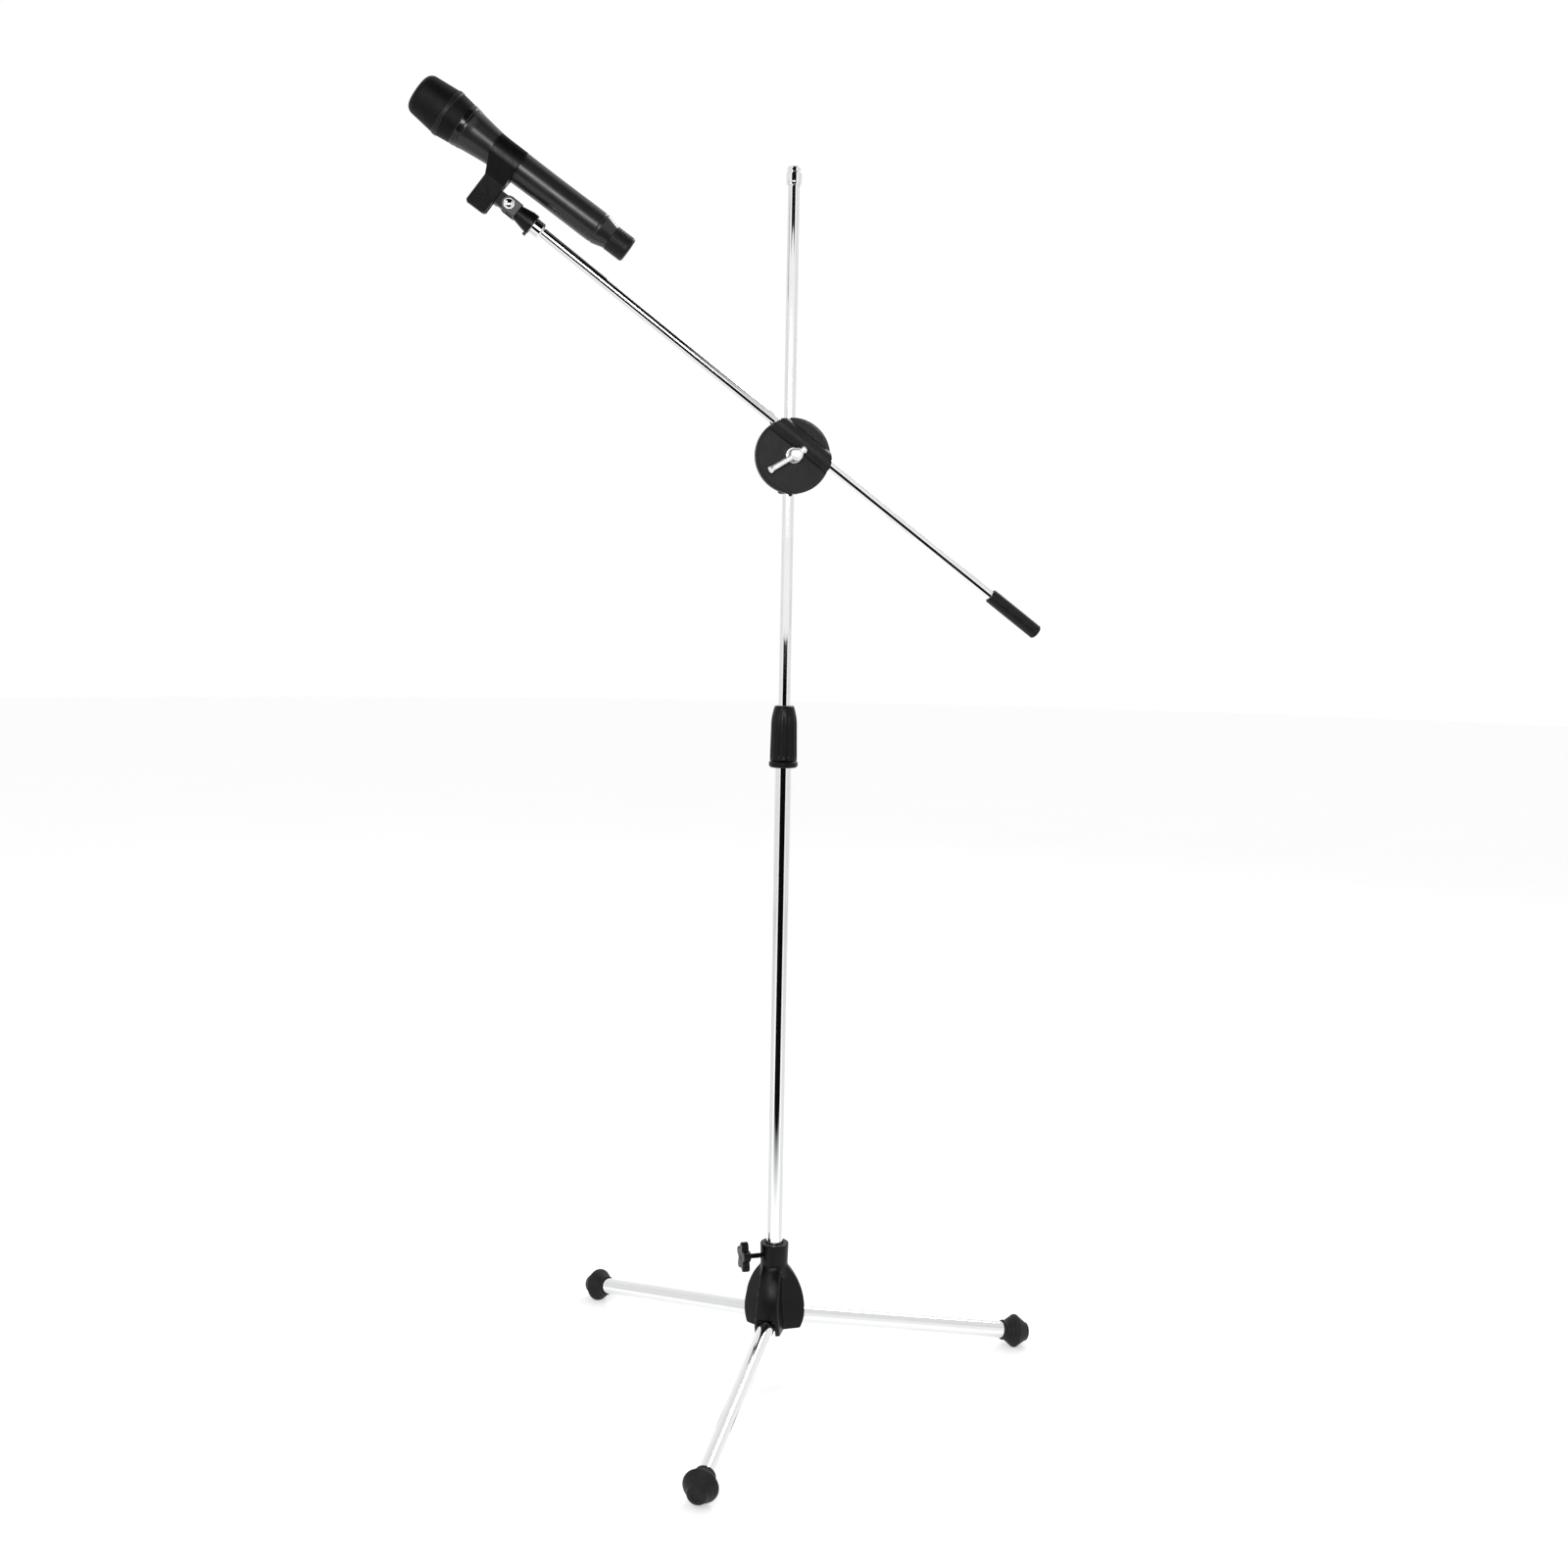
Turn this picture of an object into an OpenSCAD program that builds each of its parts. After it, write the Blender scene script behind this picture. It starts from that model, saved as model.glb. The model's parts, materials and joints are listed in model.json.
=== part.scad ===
// Boom microphone stand: folding tripod base, two-part pole, tilting boom, clip and microphone.
// Origin on the pole's axis at floor level, +Z up. The boom lies along X, its tail towards +X,
// and the clamp's T-handle faces -Y.

/* [Base] */
// Distance from the pole's axis to the middle of each foot
foot_reach = 258.8; // [235:0.2:280]
// Slope of the legs below horizontal, in degrees
leg_drop = 10; // [9:0.5:11]
// Direction of the first leg, in degrees from +X towards +Y
leg_turn = 6; // [0:1:30]
// Outer diameter of the legs and of the lower pole tube
main_tube_d = 16; // [15.6:0.1:16.4]
// Largest diameter of a rubber foot
foot_d = 32.6; // [30:0.2:34]

/* [Pole] */
// Outer diameter of the upper pole tube
upper_tube_d = 12; // [11.6:0.1:12.2]
// Height of the clutch's lower face
clutch_z = 598; // [560:1:640]
// Height of the shoulder of the stud on top of the pole
pole_top_z = 1163.5; // [1100:0.5:1220]
// Major diameter of the 5/8 inch stand thread
stud_d = 15.88; // [15.8:0.01:15.9]

/* [Clamp] */
// Height of the clamp's axis
clamp_z = 900.3; // [850:0.1:950]
// Diameter of the front disc
disc_d = 73.2; // [70:0.2:76]
// Length of the sliding T-bar
t_bar_len = 41.5; // [40:0.5:46]
// Direction of the T-bar above +X, in degrees
t_bar_angle = 32; // [0:1:60]

/* [Boom] */
// Slope of the boom below +X, in degrees
boom_tilt = 36.7; // [20:0.1:50]
// Outer diameter of the boom tube
boom_d = 10; // [9.8:0.1:10]
// Distance from the clamp's axis to the boom's axis
boom_offset = 15.3; // [15:0.1:16]
// Distance from the clamp to the clip's swivel bolt, along the boom
clip_reach = 353; // [330:1:380]
// Distance from the clamp to the tail end of the grip
tail_reach = 300; // [280:1:330]
// Diameter of the tail grip
grip_d = 14.6; // [14:0.1:15]

/* [Clip and microphone] */
// Angle from the boom up to the microphone, in degrees
clip_tilt = 2; // [0:0.5:8]
// Distance from the swivel bolt to the microphone's axis
mic_offset = 33.6; // [33.4:0.1:34]
// Distance from the front of the microphone to the swivel bolt, along the microphone
mic_ahead = 126; // [122:0.5:132]

/* [Hidden] */
$fn = 72;

black = [0.06, 0.06, 0.065];
soft_black = [0.1, 0.1, 0.11];
chrome = [0.88, 0.89, 0.9];
steel = [0.62, 0.63, 0.65];
brass = [0.72, 0.57, 0.28];
rubber = [0.07, 0.07, 0.07];

eps = 0.01;
run_fit = 0.05;
big = 400;

main_r = main_tube_d / 2;
tube_wall = 1;
main_bore = main_r - tube_wall;
upper_r = upper_tube_d / 2;
stud_r = stud_d / 2;

// Hub
hub_bottom = 48;
hub_widest_z = 64;
hub_r = 30.7;
hub_arc = 66.3;
hub_tuck_arc = 36.4;
hub_wall = 2.2;
neck_z = 106;
neck_top = 130.5;
neck_r = 14;
neck_foot_r = 13.2;
lobe_half = 12.4;
lobe_mid_half = 10.6;
lobe_top_half = 9.4;
roof_z = 98;
slot_half = 8.6;
block_bottom = 51.2;
block_top = 72;
tube_seat = 70;

// Leg hinges
pivot_r = 19;
foot_z = foot_d / 2 * cos(leg_drop) - 0.55;
leg_len = (foot_reach - pivot_r) / cos(leg_drop);
pivot_z = foot_z + leg_len * sin(leg_drop);
eye_r = 7;
eye_half = 4.5;
ear_gap = 0.25;
ear_out = 8.55;
leg_pin_r = 2.5;
leg_pin_half = 11.4;
leg_start = 9.8;

// Thumb screw
thumb_z = 118.6;
thumb_r = 2.5;
thumb_tip = main_r + 0.15;
knob_in = 27.2;
knob_out = 34.4;
knob_r = 14.5;
knob_lobes = 5;

// Clutch
clutch_ring_h = 6;
sleeve_foot_r = 13.3;
shoulder_foot_r = 12.65;
shoulder_arc = 62.3;
collet_z = clutch_z + 42;
collet_h = 12;
flutes = 18;
stud_chamfer = 2.5;

// Clamp, measured forward of the pole's axis
plate_back = 8.5;
plate_front = 12.5;
washer_front = 14.1;
disc_back = 14.2;
disc_front = 24;
boom_y = 20;
ridge_r = 10.5;
disc_r = disc_d / 2;
bolt_r = 3.95;
boss_r = 6.3;
boss_end = 42.5;
t_bar_y = 36.6;
t_bar_r = 2.5;
liner_r = 7.2;
liner_half = 34.5;
sleeve_head = 37.4;
sleeve_foot = -35.4;

// Boom, measured along it from the clamp
boom_r = boom_d / 2;
grip_len = 61;
stud_collar = 11;
stud_depth = 9;
base_end = 28.5;
stud_shoulder = -clip_reach + base_end;
boom_start = stud_shoulder + stud_collar;

// Clip, measured from the swivel bolt
cheek_in = 3.9;
cheek_out = 7.2;
tongue_half = 3.6;
jaw_left = -41.5;
jaw_right = -12.3;
handle_left = -33;
handle_end = -22.5;
far_handle_end = -19.5;
jaw_pad_r = 16.1;
jaw_in_r = 16.9;
jaw_out_r = 19.3;
hinge_z = 9;
knuckle_r = 3.6;
jaw_pin_r = 1.5;
fixed_knuckles = [[-32, -29], [-20, -17]];
moving_knuckles = [[-28.7, -26], [-23, -20.3]];
spring_coils = [-25.47, -24.82, -24.17, -23.52];

// Microphone, measured from its front
ring_s = 31;
lower_mesh_s = 36;
collar_s = 49;
body_s = 55.5;
tail_s = 203;
cap_s = 218.5;
mic_len = 238.7;
mic_body_r = 15.7;

leg_names = ["right", "left", "front"];
function leg_angle(i) = leg_turn + 120 * i;
function arc(x, y, r, a0, a1, n) =
    [for (i = [0:n]) let (a = a0 + (a1 - a0) * i / n) [x + r * cos(a), y + r * sin(a)]];

// ---- Frames ----
module leg_frame(i) {
    rotate([0, 0, leg_angle(i)])
        translate([pivot_r, 0, pivot_z])
            rotate([0, leg_drop, 0])
                children();
}

module thumb_frame() {
    rotate([0, 0, leg_turn + 180])
        translate([0, 0, thumb_z])
            rotate([0, 90, 0])
                children();
}

// Local +Z points forwards, out of the clamp's face
module clamp_frame() {
    translate([0, 0, clamp_z])
        rotate([90, 0, 0])
            children();
}

// Local +X runs along the boom to its tail, with the clamp's axis at the origin
module boom_frame() {
    translate([0, -boom_y, clamp_z])
        rotate([0, boom_tilt, 0])
            translate([0, 0, boom_offset])
                children();
}

// Local +X runs along the microphone to its tail, with the swivel bolt at the origin
module clip_frame() {
    boom_frame()
        translate([-clip_reach, 0, 0])
            rotate([0, -clip_tilt, 0])
                children();
}

// Local +Z runs from the microphone's front to its tail
module mic_frame() {
    clip_frame()
        translate([-mic_ahead, 0, mic_offset])
            rotate([0, 90, 0])
                children();
}

// ---- Shared shapes ----
module ring(r_out, r_in, z0, z1) {
    translate([0, 0, z0])
        difference() {
            cylinder(r = r_out, h = z1 - z0);
            translate([0, 0, -1])
                cylinder(r = r_in, h = z1 - z0 + 2);
        }
}

module rod(r, z0, z1) {
    translate([0, 0, z0])
        cylinder(r = r, h = z1 - z0);
}

module x_rod(r, x0, x1) {
    translate([x0, 0, 0])
        rotate([0, 90, 0])
            cylinder(r = r, h = x1 - x0);
}

module x_ring(r_out, r_in, x0, x1) {
    rotate([0, 90, 0])
        ring(r_out, r_in, x0, x1);
}

// A cylinder across the frame, along Y
module y_rod(r, y0, y1) {
    translate([0, y1, 0])
        rotate([90, 0, 0])
            cylinder(r = r, h = y1 - y0);
}

// Extrudes an outline drawn in X and Z along Y
module along_y(y0, y1) {
    translate([0, y1, 0])
        rotate([90, 0, 0])
            linear_extrude(y1 - y0)
                children();
}

// Extrudes an outline drawn in Y and Z along X
module along_x(x0, x1) {
    translate([x0, 0, 0])
        rotate([90, 0, 90])
            linear_extrude(x1 - x0)
                children();
}

// ---- Base ----
// Half of the hub's upright section, set in by a wall thickness
module hub_section(inset) {
    intersection() {
        translate([hub_r - hub_arc, hub_widest_z])
            circle(r = hub_arc - inset);
        translate([hub_r - hub_tuck_arc, hub_widest_z])
            union() {
                circle(r = hub_tuck_arc - inset);
                translate([-big, 0])
                    square([2 * big, big]);
            }
        translate([0, hub_bottom - (inset > 0 ? 1 : 0)])
            square([hub_r + 5, (inset > 0 ? roof_z + 1 : 112) - hub_bottom]);
    }
}

module lobe_outline(inset) {
    polygon([
        [lobe_half - inset, hub_bottom - 2],
        [lobe_half - inset, 56],
        [lobe_mid_half - inset, 76],
        [lobe_top_half - inset, 112],
        [-lobe_top_half + inset, 112],
        [-lobe_mid_half + inset, 76],
        [-lobe_half + inset, 56],
        [-lobe_half + inset, hub_bottom - 2]
    ]);
}

module hub_lobes(inset) {
    intersection() {
        rotate_extrude()
            hub_section(inset);
        union() {
            for (i = [0:2])
                rotate([0, 0, leg_angle(i)])
                    along_x(0, hub_r + 5)
                        lobe_outline(inset);
        }
    }
}

module leg_slots() {
    slot_top = pivot_z + 6.8;
    for (i = [0:2])
        rotate([0, 0, leg_angle(i)])
            translate([pivot_r + 4, 0, 0])
                along_x(0, 20)
                    polygon([
                        [-slot_half, hub_bottom - 1],
                        [-slot_half, slot_top - 4],
                        [-slot_half + 3, slot_top],
                        [slot_half - 3, slot_top],
                        [slot_half, slot_top - 4],
                        [slot_half, hub_bottom - 1]
                    ]);
}

module hub_shell() {
    color(black)
        difference() {
            union() {
                hub_lobes(0);
                translate([0, 0, neck_z])
                    cylinder(r1 = neck_foot_r, r2 = neck_r, h = neck_top - neck_z - 1);
                translate([0, 0, neck_top - 1])
                    cylinder(r1 = neck_r, r2 = neck_r - 1, h = 1);
            }
            hub_lobes(hub_wall);
            leg_slots();
            for (i = [0:2])
                rotate([0, 0, leg_angle(i)])
                    translate([pivot_r, 0, pivot_z])
                        y_rod(leg_pin_r, -leg_pin_half, leg_pin_half);
            rod(main_r + 0.06, roof_z - 5, neck_top + 1);
            translate([0, 0, neck_top - 1.2])
                cylinder(r1 = main_r + 0.06, r2 = main_r + 2.4, h = 1.21);
            thumb_frame()
                rod(4.2, main_r - 1, neck_r + 1);
        }
}

module ear_outline() {
    translate([pivot_r, pivot_z])
        circle(r = eye_r);
    translate([-2, block_bottom])
        square([pivot_r + 2, block_top - block_bottom]);
    translate([0, pivot_z])
        square([pivot_r + 5, block_top - pivot_z]);
}

module leg_hinge_block() {
    color(soft_black)
        difference() {
            for (i = [0:2])
                rotate([0, 0, leg_angle(i)])
                    along_y(-ear_out, ear_out)
                        ear_outline();
            for (i = [0:2])
                rotate([0, 0, leg_angle(i)]) {
                    along_y(-eye_half - ear_gap, eye_half + ear_gap)
                        translate([pivot_r - eye_r - 0.8, hub_bottom])
                            square([24, pivot_z + eye_r + 0.8 - hub_bottom]);
                    translate([pivot_r, 0, pivot_z])
                        y_rod(leg_pin_r, -10, 10);
                }
            rod(main_r + 0.06, tube_seat, block_top + 1);
        }
}

module leg_pivot_pins() {
    color(steel)
        for (i = [0:2])
            rotate([0, 0, leg_angle(i)])
                translate([pivot_r, 0, pivot_z])
                    y_rod(leg_pin_r, -leg_pin_half, leg_pin_half);
}

module thumb_insert() {
    color(brass)
        thumb_frame()
            ring(4.2, thumb_r + run_fit, main_r + 0.8, neck_foot_r - 0.2);
}

module thumb_screw() {
    color(chrome)
        thumb_frame() {
            rod(1.9, thumb_tip, thumb_tip + 1);
            rod(thumb_r, thumb_tip + 1, knob_out - 3);
        }
}

module knob_outline() {
    circle(r = knob_r - 2.8);
    for (i = [0:knob_lobes - 1])
        rotate([0, 0, 360 / knob_lobes * i])
            translate([knob_r - 5.2, 0])
                circle(r = 5.2);
}

module thumb_knob() {
    color(black)
        thumb_frame()
            difference() {
                union() {
                    rod(5, knob_in - 2.4, knob_in + 1);
                    translate([0, 0, knob_in])
                        linear_extrude(knob_out - knob_in)
                            knob_outline();
                }
                rod(thumb_r, knob_in - 4, knob_out - 3);
                translate([0, 0, knob_out - 1])
                    cylinder(r1 = 6.5, r2 = 7.5, h = 1.01);
            }
}

module leg_tube(i) {
    color(chrome)
        leg_frame(i)
            x_ring(main_r, main_bore, leg_start, leg_len + 4);
}

// Hinge eye with a plug that fills the tube's inner end
module leg_end(i) {
    color(soft_black)
        leg_frame(i)
            difference() {
                union() {
                    y_rod(eye_r, -eye_half, eye_half);
                    translate([0, -eye_half, -4.6])
                        cube([leg_start, 2 * eye_half, 9.2]);
                    x_rod(main_bore, leg_start - 1.6, leg_start + 22);
                }
                y_rod(leg_pin_r + run_fit, -10, 10);
                x_rod(4, leg_start + 6, leg_start + 23);
            }
}

// Rubber foot: two cones back to back, with a lip and a rounded nose
module foot(i) {
    lip = 9.9;
    waist = 9.4;
    nose = 9.5;
    widest = foot_d / 2;
    color(rubber)
        difference() {
            leg_frame(i)
                translate([leg_len, 0, 0])
                    rotate([0, 90, 0])
                        difference() {
                            rotate_extrude()
                                polygon(concat(
                                    [[0, -14.2], [lip - 0.8, -14.2]],
                                    arc(lip - 0.8, -13.4, 0.8, -90, 20, 5),
                                    [[waist, -10.6]],
                                    arc(widest - 2, 0, 2, -42, 42, 6),
                                    [[nose, 10.6]],
                                    arc(nose - 3, 11.4, 3, 5, 90, 5),
                                    [[0, 14.4]]
                                ));
                            rod(main_r, -15, 4);
                            rod(main_bore - 0.5, -15, 9);
                        }
            translate([-big, -big, -50])
                cube([2 * big, 2 * big, 50]);
        }
}

// ---- Pole ----
module lower_tube() {
    color(chrome)
        ring(main_r, main_bore, tube_seat, clutch_z + 14);
}

module lower_plug() {
    color(soft_black)
        difference() {
            rod(main_bore, tube_seat + 0.4, tube_seat + 14);
            rod(3, tube_seat, tube_seat + 15);
        }
}

module clutch_base() {
    color(black)
        difference() {
            union() {
                translate([0, 0, clutch_z])
                    cylinder(r1 = 13.2, r2 = 14.2, h = 1.2);
                rod(14.2, clutch_z + 1.2, clutch_z + clutch_ring_h - 0.6);
                translate([0, 0, clutch_z + clutch_ring_h - 0.6])
                    cylinder(r1 = 14.2, r2 = 13.4, h = 0.6);
                rod(10.4, clutch_z + 1, collet_z);
            }
            rod(main_r, clutch_z - 1, clutch_z + 14);
            rod(upper_r + 0.35, clutch_z, collet_z + 1);
        }
}

module clutch_collet() {
    slits = 4;
    color(soft_black)
        difference() {
            union() {
                rod(9, collet_z, collet_z + collet_h - 4);
                translate([0, 0, collet_z + collet_h - 4])
                    cylinder(r1 = 9, r2 = 7.4, h = 4);
            }
            rod(upper_r + run_fit, collet_z - 1, collet_z + collet_h + 1);
            for (i = [0:slits - 1])
                rotate([0, 0, 360 / slits * i])
                    translate([0, -0.6, collet_z + 2])
                        cube([12, 1.2, collet_h]);
        }
}

// Fluted sleeve with a rounded shoulder
module clutch_sleeve() {
    z0 = clutch_z + clutch_ring_h + 0.5;
    shoulder_z = clutch_z + 40;
    top = shoulder_z + shoulder_arc * sin(19);
    color(black)
        difference() {
            rotate_extrude()
                polygon(concat(
                    [[0, z0], [sleeve_foot_r - 0.6, z0], [sleeve_foot_r, z0 + 0.8]],
                    arc(shoulder_foot_r - shoulder_arc, shoulder_z, shoulder_arc, 0, 18.4, 6),
                    [[shoulder_foot_r - 4, top], [0, top]]
                ));
            rod(10.75, z0 - 1, collet_z + 0.8);
            rod(9.4, collet_z, collet_z + collet_h + 0.6);
            rod(upper_r + 0.4, collet_z, top + 1);
            for (i = [0:flutes - 1])
                rotate([0, 0, 360 / flutes * i])
                    translate([sleeve_foot_r + 0.65, 0, z0 + 3])
                        rotate([0, -1.2, 0])
                            cylinder(r = 1.3, h = 56);
        }
}

module upper_tube() {
    color(chrome)
        ring(upper_r, upper_r - tube_wall, clutch_z - 53, pole_top_z);
}

module upper_bush() {
    color(soft_black)
        ring(main_bore - run_fit, upper_r, clutch_z - 53, clutch_z - 33);
}

// Stand thread between two chamfers, with a narrower pilot above it
module pole_stud() {
    pilot_r = 7;
    color(chrome) {
        rod(upper_r - tube_wall, pole_top_z - 16, pole_top_z);
        translate([0, 0, pole_top_z])
            cylinder(r1 = pilot_r, r2 = stud_r, h = stud_chamfer);
        rod(stud_r, pole_top_z + stud_chamfer, pole_top_z + 12);
        translate([0, 0, pole_top_z + 12])
            cylinder(r1 = stud_r, r2 = pilot_r, h = 1);
        rod(pilot_r, pole_top_z + 13, pole_top_z + 17);
        translate([0, 0, pole_top_z + 17])
            cylinder(r1 = pilot_r, r2 = pilot_r - 1, h = 1.2);
    }
}

// ---- Clamp ----
module pole_liner() {
    color(soft_black)
        difference() {
            ring(liner_r, upper_r + run_fit, clamp_z - liner_half, clamp_z + liner_half);
            translate([-0.6, 0, clamp_z - liner_half - 1])
                cube([1.2, 10, 2 * liner_half + 2]);
        }
}

module rear_clamp() {
    nub_r = 1.7;
    color(black)
        difference() {
            union() {
                rod(10.4, clamp_z + sleeve_foot + 1.2, clamp_z + sleeve_head - 1.2);
                translate([0, 0, clamp_z + sleeve_head - 1.2])
                    cylinder(r1 = 10.4, r2 = 9.2, h = 1.2);
                translate([0, 0, clamp_z + sleeve_foot])
                    cylinder(r1 = 9.2, r2 = 10.4, h = 1.2);
                translate([-10.4, -plate_front + 1, clamp_z - 33])
                    cube([20.8, plate_front - 1, 66]);
                clamp_frame() {
                    translate([0, 0, plate_back])
                        cylinder(r1 = disc_r - 3.2, r2 = disc_r - 1.6, h = 1.6);
                    rod(disc_r - 1.6, plate_back + 1.6, plate_front);
                }
                along_y(-plate_front, -plate_back - 0.5)
                    translate([0, clamp_z - disc_r - 0.2]) {
                        circle(r = nub_r);
                        translate([-nub_r, 0])
                            square([2 * nub_r, 6]);
                    }
            }
            rod(liner_r + run_fit, clamp_z - 60, clamp_z + 60);
            clamp_frame() {
                rod(bolt_r + 0.35, 0, plate_front + 1);
                rod(6, plate_back, plate_front + 1);
            }
        }
}

module clamp_insert() {
    color(brass)
        clamp_frame()
            ring(6, bolt_r + run_fit, plate_back, plate_front - 0.2);
}

module friction_washer() {
    color(soft_black)
        clamp_frame()
            ring(disc_r - 3.6, 6.5, plate_front, washer_front);
}

// Front disc with the half-round boom channel across its face
module front_disc() {
    rim = 3;
    color(black)
        difference() {
            union() {
                clamp_frame() {
                    rod(disc_r, disc_back, disc_front - rim);
                    translate([0, 0, disc_front - rim])
                        cylinder(r1 = disc_r, r2 = disc_r - rim, h = rim);
                }
                intersection() {
                    boom_frame()
                        x_rod(ridge_r, -34.6, 34.6);
                    clamp_frame()
                        rod(disc_r - 0.2, disc_back, disc_front + 20);
                }
            }
            boom_frame()
                x_rod(boom_r + run_fit, -50, 50);
            clamp_frame() {
                rod(bolt_r + 0.3, 0, disc_front + 1);
                rod(8.2, disc_front, disc_front + 20);
            }
        }
}

// Screw with a cross-drilled boss for the T-bar
module clamp_bolt() {
    color(chrome)
        clamp_frame()
            difference() {
                union() {
                    rod(bolt_r, liner_r + 0.4, disc_front + 1.1);
                    rod(boss_r, disc_front + 1, boss_end - 1.6);
                    translate([0, 0, boss_end - 1.6])
                        cylinder(r1 = boss_r, r2 = boss_r - 1.8, h = 1.6);
                }
                rotate([0, 0, t_bar_angle])
                    translate([0, 0, t_bar_y])
                        x_rod(t_bar_r + run_fit, -10, 10);
            }
}

module clamp_washer() {
    color(steel)
        clamp_frame()
            ring(7.6, bolt_r, disc_front + 0.1, disc_front + 1);
}

module t_bar() {
    cap_len = 4.2;
    far_end = boss_r + 0.4 + cap_len;
    near_end = far_end - t_bar_len;
    color(chrome)
        clamp_frame()
            rotate([0, 0, t_bar_angle])
                translate([0, 0, t_bar_y]) {
                    x_rod(t_bar_r, near_end + 1, far_end - 1);
                    for (side = [[near_end, 0], [far_end, 180]])
                        translate([side[0], 0, 0])
                            rotate([0, 90, side[1]]) {
                                cylinder(r1 = 2.7, r2 = 3.4, h = 0.8);
                                rod(3.4, 0.8, cap_len - 1.6);
                                translate([0, 0, cap_len - 1.6])
                                    cylinder(r1 = 3.4, r2 = t_bar_r, h = 1.6);
                            }
                }
}

// ---- Boom ----
module boom_tube() {
    color(chrome)
        boom_frame()
            x_ring(boom_r, boom_r - tube_wall, boom_start, tail_reach - 4);
}

module boom_grip() {
    r = grip_d / 2;
    color(black)
        boom_frame()
            rotate([0, 90, 0])
                translate([0, 0, tail_reach - grip_len])
                    difference() {
                        union() {
                            cylinder(r1 = r - 1, r2 = r, h = 1);
                            rod(r, 1, grip_len - 1.6);
                            translate([0, 0, grip_len - 1.6])
                                cylinder(r1 = r, r2 = r - 1.6, h = 1.6);
                        }
                        rod(boom_r, -1, grip_len - 4);
                    }
}

module boom_plug() {
    color(soft_black)
        boom_frame()
            x_rod(boom_r - tube_wall, tail_reach - 14, tail_reach - 4);
}

module boom_stud() {
    color(chrome)
        boom_frame() {
            x_rod(boom_r - tube_wall, boom_start, boom_start + 14);
            x_rod(stud_r, stud_shoulder - stud_depth, boom_start);
        }
}

// ---- Clip ----
// Fork that swivels the jaws, on a threaded cone with a finger tab
module clip_base() {
    color(black)
        boom_frame()
            translate([-clip_reach, 0, 0])
                difference() {
                    union() {
                        along_y(-cheek_out, cheek_out) {
                            circle(r = 7.5);
                            translate([0, -7.4])
                                square([11, 14.8]);
                        }
                        translate([10.4, 0, 0])
                            rotate([0, 90, 0])
                                cylinder(r1 = 7.4, r2 = 9.9, h = 12.6);
                        x_rod(9.9, 23, base_end);
                        along_x(base_end - 3, base_end)
                            polygon([[-3, 0], [3, 0], [2.2, -12.9], [-2.2, -12.9]]);
                    }
                    translate([-10, -cheek_in, -12])
                        cube([19, 2 * cheek_in, 24]);
                    y_rod(2.5, -10, 10);
                    x_rod(stud_r + 0.06, base_end - stud_depth - 0.4, base_end + 1);
                }
}

module swivel_bolt() {
    head = 4.4;
    color(chrome)
        boom_frame()
            translate([-clip_reach, 0, 0]) {
                y_rod(2.5, -cheek_out - 0.8, cheek_out + 4);
                translate([0, -cheek_out - 0.8, 0])
                    rotate([90, 0, 0])
                        rotate_extrude()
                            polygon(concat([[0, 0], [head, 0]], arc(0, -3.2, 5.44, 36, 90, 8)));
            }
}

module swivel_washer() {
    color(steel)
        boom_frame()
            translate([-clip_reach, -cheek_out, 0])
                rotate([90, 0, 0])
                    ring(5, 2.5, 0, 0.8);
}

module swivel_nut() {
    color(steel)
        boom_frame()
            translate([-clip_reach, cheek_out + 3.2, 0])
                rotate([90, 0, 0])
                    difference() {
                        cylinder(r = 4.6, h = 3.2, $fn = 6);
                        rod(2.5, -1, 5);
                    }
}

// Side outline shared by both jaws: a wide upper part that narrows to the handle
module jaw_side(end) {
    polygon([
        [jaw_left, 62],
        [jaw_left, 27],
        [handle_left, 8.5],
        [handle_left, end + 2],
        [handle_left + 2, end],
        [jaw_right - 2, end],
        [jaw_right, end + 2],
        [jaw_right, 62]
    ]);
}

// Section of the near jaw; the far one is its mirror image
module jaw_section() {
    lip_angle = 46;
    difference() {
        union() {
            intersection() {
                translate([0, mic_offset])
                    circle(r = jaw_out_r);
                polygon([
                    [0, mic_offset],
                    [-40 * cos(lip_angle), mic_offset + 40 * sin(lip_angle)],
                    [-40, mic_offset],
                    [-40, 27],
                    [0, 27]
                ]);
            }
            polygon([[-18.1, 27], [-7.2, 9.5], [-4.3, 9.5], [-4.3, 13.2], [-0.4, 13.2], [-0.4, 27]]);
        }
        translate([0, mic_offset])
            circle(r = jaw_in_r);
    }
    polygon([
        [-4.3, 13.2], [-4.3, 4], [-6, handle_end], [-9, handle_end], [-7.5, 3], [-7.2, 9.5]
    ]);
}

module knuckles(spans) {
    for (span = spans) {
        translate([0, 0, hinge_z])
            x_rod(knuckle_r, span[0], span[1]);
        along_x(span[0], span[1])
            polygon([[-5, 5.6], [-5, 12.4], [0, 12.6], [0, 5.4]]);
    }
}

module grip_ridges(end) {
    pitch = 2.9;
    for (k = [0:4])
        translate([0, -8.6 + 0.17 * k, end + 3 + pitch * k])
            x_rod(0.8, handle_left + 1.5, jaw_right - 1.5);
}

// The near lever: its section cut to the side outline, with knuckles and grip ridges.
// Its handle stops at the given height.
module lever(spans, end) {
    intersection() {
        along_x(jaw_left, jaw_right)
            jaw_section();
        along_y(-30, 30)
            jaw_side(end);
    }
    knuckles(spans);
    grip_ridges(end);
}

module jaw_pad() {
    intersection() {
        translate([0, 0, mic_offset])
            x_ring(jaw_in_r, jaw_pad_r, jaw_left + 4, jaw_right - 1.5);
        along_x(jaw_left, jaw_right)
            polygon([
                [-4, mic_offset - 8], [-7, 10], [-30, 10], [-30, mic_offset + 13],
                [-12, mic_offset + 13], [-4, mic_offset]
            ]);
    }
}

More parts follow.
